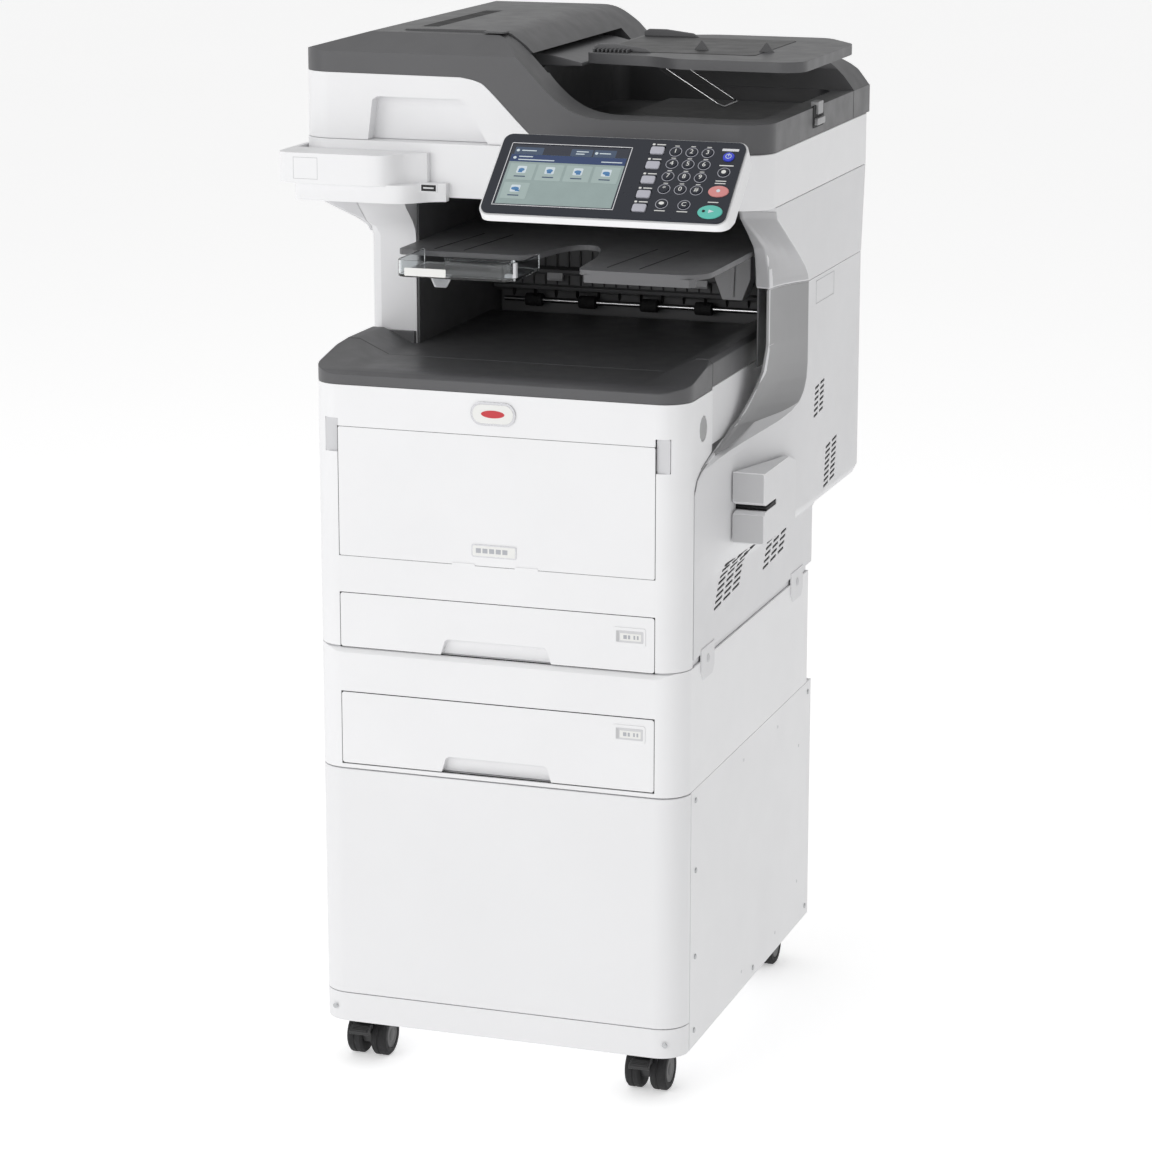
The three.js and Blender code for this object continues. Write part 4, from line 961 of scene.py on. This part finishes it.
def exit_unit():
    """Shaft, rollers, ribs, rails, paper flags and star wheels at the back of the bay."""
    x0, x1, y0, y1, z0, z1 = edges("exit_roller")
    centre = ((x0 + x1) / 2, (y0 + y1) / 2, (z0 + z1) / 2)
    half = (x1 - x0) / 2
    shaft = Shape()
    ends = [(0.6, -half), (3, -half + 0.8), (3, half - 0.8), (0.6, half)]
    shaft.turned(ends, "x", centre, 24)
    made = shaft.piece("exit_shaft", "bright_steel", "exit_roller", "bright_steel")
    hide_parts("exit_roller")
    rollers = Shape()
    for x in (-110, -40, 40, 110):
        profile = [(3.2, -11), (7, -11), (8, -10), (8, 10), (7, 11), (3.2, 11)]
        rollers.turned(profile, "x", (x, centre[1], centre[2]), 28)
        for k in (-5, 0, 5):
            rollers.turned([(8.25, k - 1.2), (8.25, k + 1.2)], "x", (x, centre[1], centre[2]), 28)
    rollers.piece("exit_rollers", "black_rubber", "exit_roller", "black_rubber", 0.3)
    ribs = [-150 + 15.2 * k for k in range(24)]
    runs("exit_ribs", "black_plastic", "machine", "dark_plastic",
         [(433.6, 822), (431, 828), (431, 860), (433.6, 866)], "x",
         [(x - 0.8, x + 0.8) for x in ribs], bevel=0.2)
    rail = Shape()
    rail.prism([(434, 838), (426, 836), (423, 839), (423, 843), (434, 846)], "x", -156, 212)
    rail.prism([(434, 816), (429, 817), (428, 821), (434, 823)], "x", -156, 212)
    rail.piece("exit_rails", "deep_plastic", "machine", "dark_plastic", 0.5)
    runs("paper_flags", "soft_grey", "machine", "grey_keys",
         [(424, 829), (421.5, 832), (424, 843), (427, 843), (427, 829)], "x",
         [(-84, -64), (102, 122)], bevel=0.5)
    teeth = []
    for t in range(24):
        radius = 6.2 if t % 2 else 4.6
        turn = 2 * math.pi * t / 24
        teeth.append((438 + radius * math.cos(turn), 812 + radius * math.sin(turn)))
    wheels = [-132 + 27.5 * k for k in range(12)]
    runs("exit_star_wheels", "black_plastic", "machine", "black_plastic", teeth, "x",
         [(x - 0.5, x + 0.5) for x in wheels])


def upper_tray_details():
    """The upper tray's fold lines and bracket, and the clear tray's label and clips."""
    plates("tray_score_lines", "shadow_gap", "machine", "black_plastic",
           [[(x, y0), (x + 1.2, y0), (x + 14.2, y1), (x + 13, y1)]
            for x, y0, y1 in ((112, 64, 210), (150, 64, 210), (-120, 130, 262), (-84, 130, 262))],
           "z", 908.6, 909.5, bevel=0.1)
    bracket = Shape()
    bracket.prism([(156, 826), (181, 826), (191, 852), (191, 902.4), (146, 902.4), (146, 852)],
                  "y", 372, 398)
    bracket.prism([(166, 830), (171, 830), (173, 898), (164, 898)], "y", 369.6, 373)
    bracket.piece("tray_bracket", "soft_grey", "machine", "grey_keys", 1.2)
    x0, x1, y0 = edges("clear_tray")[:3]
    plate("clear_tray_label", "label_paper", "machine", "white_plastic",
          rounded(x0 + 12, x0 + 62, 894.6, 903.8, 1.0), "y", y0 - 0.5, y0 - 0.1, bevel=0.15)
    clip = Shape()
    clip.prism([(x1 - 12, 897), (x1 + 1.6, 897), (x1 + 1.6, 914), (x1 - 2, 914), (x1 - 2, 901),
                (x1 - 12, 901)], "y", y0 + 6, y0 + 12)
    clip.prism([(x0 + 41, 880), (x0 + 55, 880), (x0 + 62, 893.4), (x0 + 35, 893.4)], "y",
               y0 + 19, y0 + 23)
    clip.piece("clear_tray_clips", "soft_grey", "machine", "grey_keys", 0.5)


def column_details():
    """A small catch slot on the left column, and the strip at the left of the bay."""
    plate("column_slot_left", "shadow_gap", "machine", "black_plastic",
          rounded(-176, -174, 796, 812, 0.9), "y", 190.2, 192.6, bevel=0.1)
    plate("bay_corner_filler", "dark_plastic", "machine", "dark_plastic",
          rounded(-222, -166, 182, 187.4, 0.5), "z", 773, 801, bevel=0.8)


# ---- scanner, shelf and feeder


def scanner_details():
    """The port on the scanner's front, the shelf's lid outline and the glass's frame marks."""
    y = edges("scanner_body")[2]
    plate("port_frame", "soft_grey", "scanner", "shell_plastic",
          rounded(-97.5, -76, 989, 999.5, 1.2), "y", y - 0.8, y + 0.3, bevel=0.2)
    plate("port_hole", "shadow_gap", "scanner", "black_plastic",
          rounded(-95.5, -78, 990.8, 997.8, 0.6), "y", y - 1.1, y - 0.7, bevel=0.1)
    boxes("port_tongue", "soft_grey", "scanner", "shell_plastic",
          [(-93, -80.5, y - 1.5, y - 1.0, 993.6, 995.2)], 0.1)
    x0, _, y0, _, _, z1 = edges("left_shelf")
    lid = strips(x0 + 22, x0 + 52, z1 - 30, z1 - 5, 0.5)
    boxes("shelf_lid_seam", "grey_plastic", "scanner", "shell_plastic",
          [(p0, p1, y0 - 0.12, y0 + 0.3, q0, q1) for p0, p1, q0, q1 in lid], 0.1)
    boxes("glass_marks", "print_ink", "scanner", "dark_plastic",
          [(-226, -223.5, 190 + 100 * k, 190.8 + 100 * k, z1 + 9.8, z1 + 10.2)
           for k in range(3)])


def feeder_details():
    """The feeder's exit floor, paper table, guides, wire bail, latch, release tab and hinges."""
    plate("exit_floor_step", "deep_plastic", "document_feeder", "dark_plastic",
          rounded(52, 244, 236, 490, [18, 26, 4, 4], 8), "z", 1045.5, 1051.5, bevel=1.6, segments=3)
    plate("feed_table", "deep_plastic", "document_feeder", "dark_plastic",
          [(-58, 1131.5), (-10, 1126), (26, 1118), (26, 1114), (-30, 1113), (-58, 1129)], "y", 232,
          470, bevel=1.0)
    runs("paper_guides", "deep_plastic", "input_tray", "dark_plastic",
         [(34, 1130), (34, 1136), (40, 1139), (62, 1139), (96, 1135), (104, 1130)], "y",
         [(252, 255), (443, 446)], bevel=1.2, segments=3)
    plate("tray_mat", "black_plastic", "input_tray", "black_plastic",
          rounded(36, 226, 258, 440, 6), "z", 1129.7, 1130.6, bevel=0.2)
    boxes("guide_grips", "dark_plastic", "input_tray", "dark_plastic",
          [(36 + 5 * k, 38.6 + 5 * k, 240, 256, 1129.6, 1134) for k in range(9)], 0.8)
    # a near-black plate down in the cover's groove is painted shade in the trough
    plate("groove_shade", "shadow_gap", "feeder_cover", "black_plastic",
          rounded(-160.5, -139.5, 203, 417, 9, 8), "z", 1153, 1157.4, bevel=0.3)
    wire = Shape()
    reach, bar, low_x, low_z = 116, 185, 178, 1073.1
    wire.rod([(reach, 270, 1110.7), (low_x, 270, low_z), (183, 271.5, 1070.1),
              (bar, 275, 1068.9), (bar, 325, 1068.9), (183, 328.5, 1070.1), (low_x, 330, low_z),
              (reach, 330, 1110.7)], 1.3, 12)
    made = wire.piece("bail_wire", "bright_steel", "document_bail", "bright_steel")
    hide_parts("document_bail")
    plates("guide_slots", "shadow_gap", "input_tray", "black_plastic",
           [rounded(44, 108, y, y + 6, 2.5) for y in (300, 390)], "z", 1129.6, 1130.5, bevel=0.1)
    plate("feeder_latch_pocket", "shadow_gap", "document_feeder", "black_plastic",
          rounded(310, 356, 1043, 1069, 2.5), "x", 280.4, 282.3, bevel=0.2)
    catch = Shape()
    catch.prism(rounded(316, 350, 1046, 1054, 2.0), "x", 281.5, 286.0)
    catch.prism(rounded(322, 344, 1058, 1073, 2.0), "x", 275.5, 285.0)
    catch.piece("feeder_latch", "trim_grey", "document_feeder", "dark_plastic", 0.7)
    plate("cover_release_tab", "dark_plastic", "document_feeder", "dark_plastic",
          rounded(-66, -40, 151, 169.4, 3), "z", 1156.2, 1158.6, bevel=0.7)
    hinges = Shape()
    for x in (-200, 200):
        hinges.prism(rounded(x - 24, x + 24, 564.5, 586, 4), "z", 1012, 1032)
        hinges.turned([(0.6, -22), (7, -22), (7, 22), (0.6, 22)], "x", (x, 579, 1036), 24)
    hinges.piece("lid_hinges", "black_plastic", "scanner", "black_plastic", 0.8)


def side_seams():
    """A thin parting line on the right side of the feeder's rear cap."""
    plate("feeder_side_seam", "shadow_gap", "document_feeder", "black_plastic",
          [(497, 1066.5), (498, 1066.5), (498, 1035), (497, 1035)], "x", OUTER - 0.2, OUTER + 0.15)


# ---- rear and insides


def rear_details():
    """Vents, ports, a blank rating plate, the inlet's pins, and screws on the rear."""
    back = edges("rear_cover")[3]
    vents = Shape()
    for row in range(9):
        for column in range(3):
            x = -130 + 46 * column
            vents.prism(capsule(x, 690 + 7 * row, 18, 1.6), "y", back - 7, back + 3)
    carve("rear_cover", vents, "rear_cover_shell", "shell_plastic", "machine",
          0.5)
    ports, holes = Shape(), Shape()
    for x0, x1, low, high in ((104, 124, 600, 616), (132, 148, 600, 616), (156, 170, 600, 608)):
        ports.prism(rounded(x0, x1, low, high, 1), "y", back - 0.4, back + 0.8)
        holes.prism(rounded(x0 + 2, x1 - 2, low + 2, high - 2, 0.6), "y", back + 0.5, back + 1.1)
    ports.piece("rear_port_frames", "zinc_steel", "machine", "zinc_steel", 0.2)
    holes.piece("rear_port_holes", "shadow_gap", "machine", "black_plastic")
    plate("rating_plate", "label_paper", "machine", "white_plastic",
          rounded(-130, -60, 560, 596, 2), "y", back - 0.2, back + 0.3, bevel=0.1)
    x0, x1, _, y1, z0, z1 = edges("power_inlet")
    middle_x, middle_z = (x0 + x1) / 2, (z0 + z1) / 2
    plates("inlet_pins", "bright_steel", "machine", "bright_steel",
           [rounded(middle_x + dx - 1, middle_x + dx + 1, middle_z + dz - 2.5,
                    middle_z + dz + 2.5, 0.4) for dx, dz in ((-7, -2.5), (7, -2.5), (0, 3))],
           "y", y1 - 8, y1 - 1.5, bevel=0.3)
    screws = [(x, back, z) for x, z in ((-210, 480), (210, 480), (-210, 755), (210, 755), (0, 480))]
    tray_back = edges("tray_unit_housing")[3]
    screws += [(x, tray_back, z) for x, z in ((-205, 440), (205, 440), (-205, 330), (205, 330))]
    turnings("rear_screws", "zinc_steel", "machine", "zinc_steel",
             [(3.4, -0.4), (3.4, 0.6), (2.6, 1.2), (0.4, 1.4)], "y", screws, 20, 0.15)


def drum_details():
    """Tops and handles on the four drum units."""
    middles = (110, 190, 270, 350)
    plates("drum_tops", "deep_plastic", "machine", "black_plastic",
           [rounded(y - 24, y + 24, 700, 722, 5) for y in middles], "x", -150, 150, bevel=1.5)
    plates("drum_handles", "grey_plastic", "machine", "grey_keys",
           [rounded(y - 10, y + 10, 721, 727, 2.5) for y in middles], "x", -30, 30, bevel=0.8)


# ---- studio


def area_light(name, place, target, size, power):
    lamp = bpy.data.lights.new(name, "AREA")
    lamp.shape = "RECTANGLE"
    lamp.size, lamp.size_y = size
    lamp.energy = power
    holder = linked(name, lamp)
    holder.location = place
    holder.rotation_euler = (Vector(target) - Vector(place)).to_track_quat("-Z", "Y").to_euler()


def studio():
    """A pale floor, an even pale surround, a large soft key from the left and gentle fills."""
    floor_data = bpy.data.meshes.new("floor")
    reach = 60.0
    corners = [(-reach, -reach, 0), (reach, -reach, 0), (reach, reach, 0), (-reach, reach, 0)]
    floor_data.from_pydata(corners, [], [[0, 1, 2, 3]])
    floor = linked("floor", floor_data)
    ground = Nodes("floor_paint", (0.97, 0.97, 0.97), 0.7)
    ground.vary((0.97, 0.97, 0.97), 0.004, 0.8)
    filled(ground.shader, Emission_Color=(1, 1, 1, 1), Emission_Strength=0.40)
    floor.data.materials.append(ground.material)
    world = bpy.data.worlds.new("surround")
    world.use_nodes = True
    filled(world.node_tree.nodes["Background"], Color=(1, 1, 1, 1), Strength=0.54)
    bpy.context.scene.world = world
    area_light("key", (-2.6, -3.4, 2.1), (0, 0, 1.05), (2.2, 2.2), 33)
    area_light("bay_fill", (-0.4, -2.6, 1.5), (0, 0, 0.9), (1.0, 0.6), 7)
    area_light("top", (-0.6, 0.4, 4.2), (0, 0, 0.75), (4.0, 4.0), 26)
    bpy.context.scene.view_settings.view_transform = "Standard"


def camera():
    """Seen from the front right, a little above the machine."""
    turn = math.radians(18.75)
    drop = math.radians(13.83)
    lens = bpy.data.cameras.new("camera")
    lens.sensor_width = 36
    lens.lens = 114.2
    lens.clip_start = 0.05
    lens.clip_end = 100
    holder = linked("camera", lens)
    holder.location = (1.3779, -4.0404, 1.6087)
    ahead = Vector((-math.sin(turn) * math.cos(drop), math.cos(turn) * math.cos(drop),
                    -math.sin(drop)))
    holder.rotation_euler = ahead.to_track_quat("-Z", "Y").to_euler()
    bpy.context.scene.camera = holder


dress_cad_nodes()
for caster_name in ("front_left", "front_right", "rear_left", "rear_right"):
    caster(caster_name)
drawer_window("upper_drawer", 491)
drawer_window("lower_drawer", 377)
badges()
front_gap_shade()
finger_pockets()
right_side()
swept_edge()
grip_face()
side_clips()
cabinet_details()
screen()
number_pad()
other_keys()
exit_unit()
upper_tray_details()
column_details()
scanner_details()
feeder_details()
side_seams()
rear_details()
drum_details()
studio()
camera()
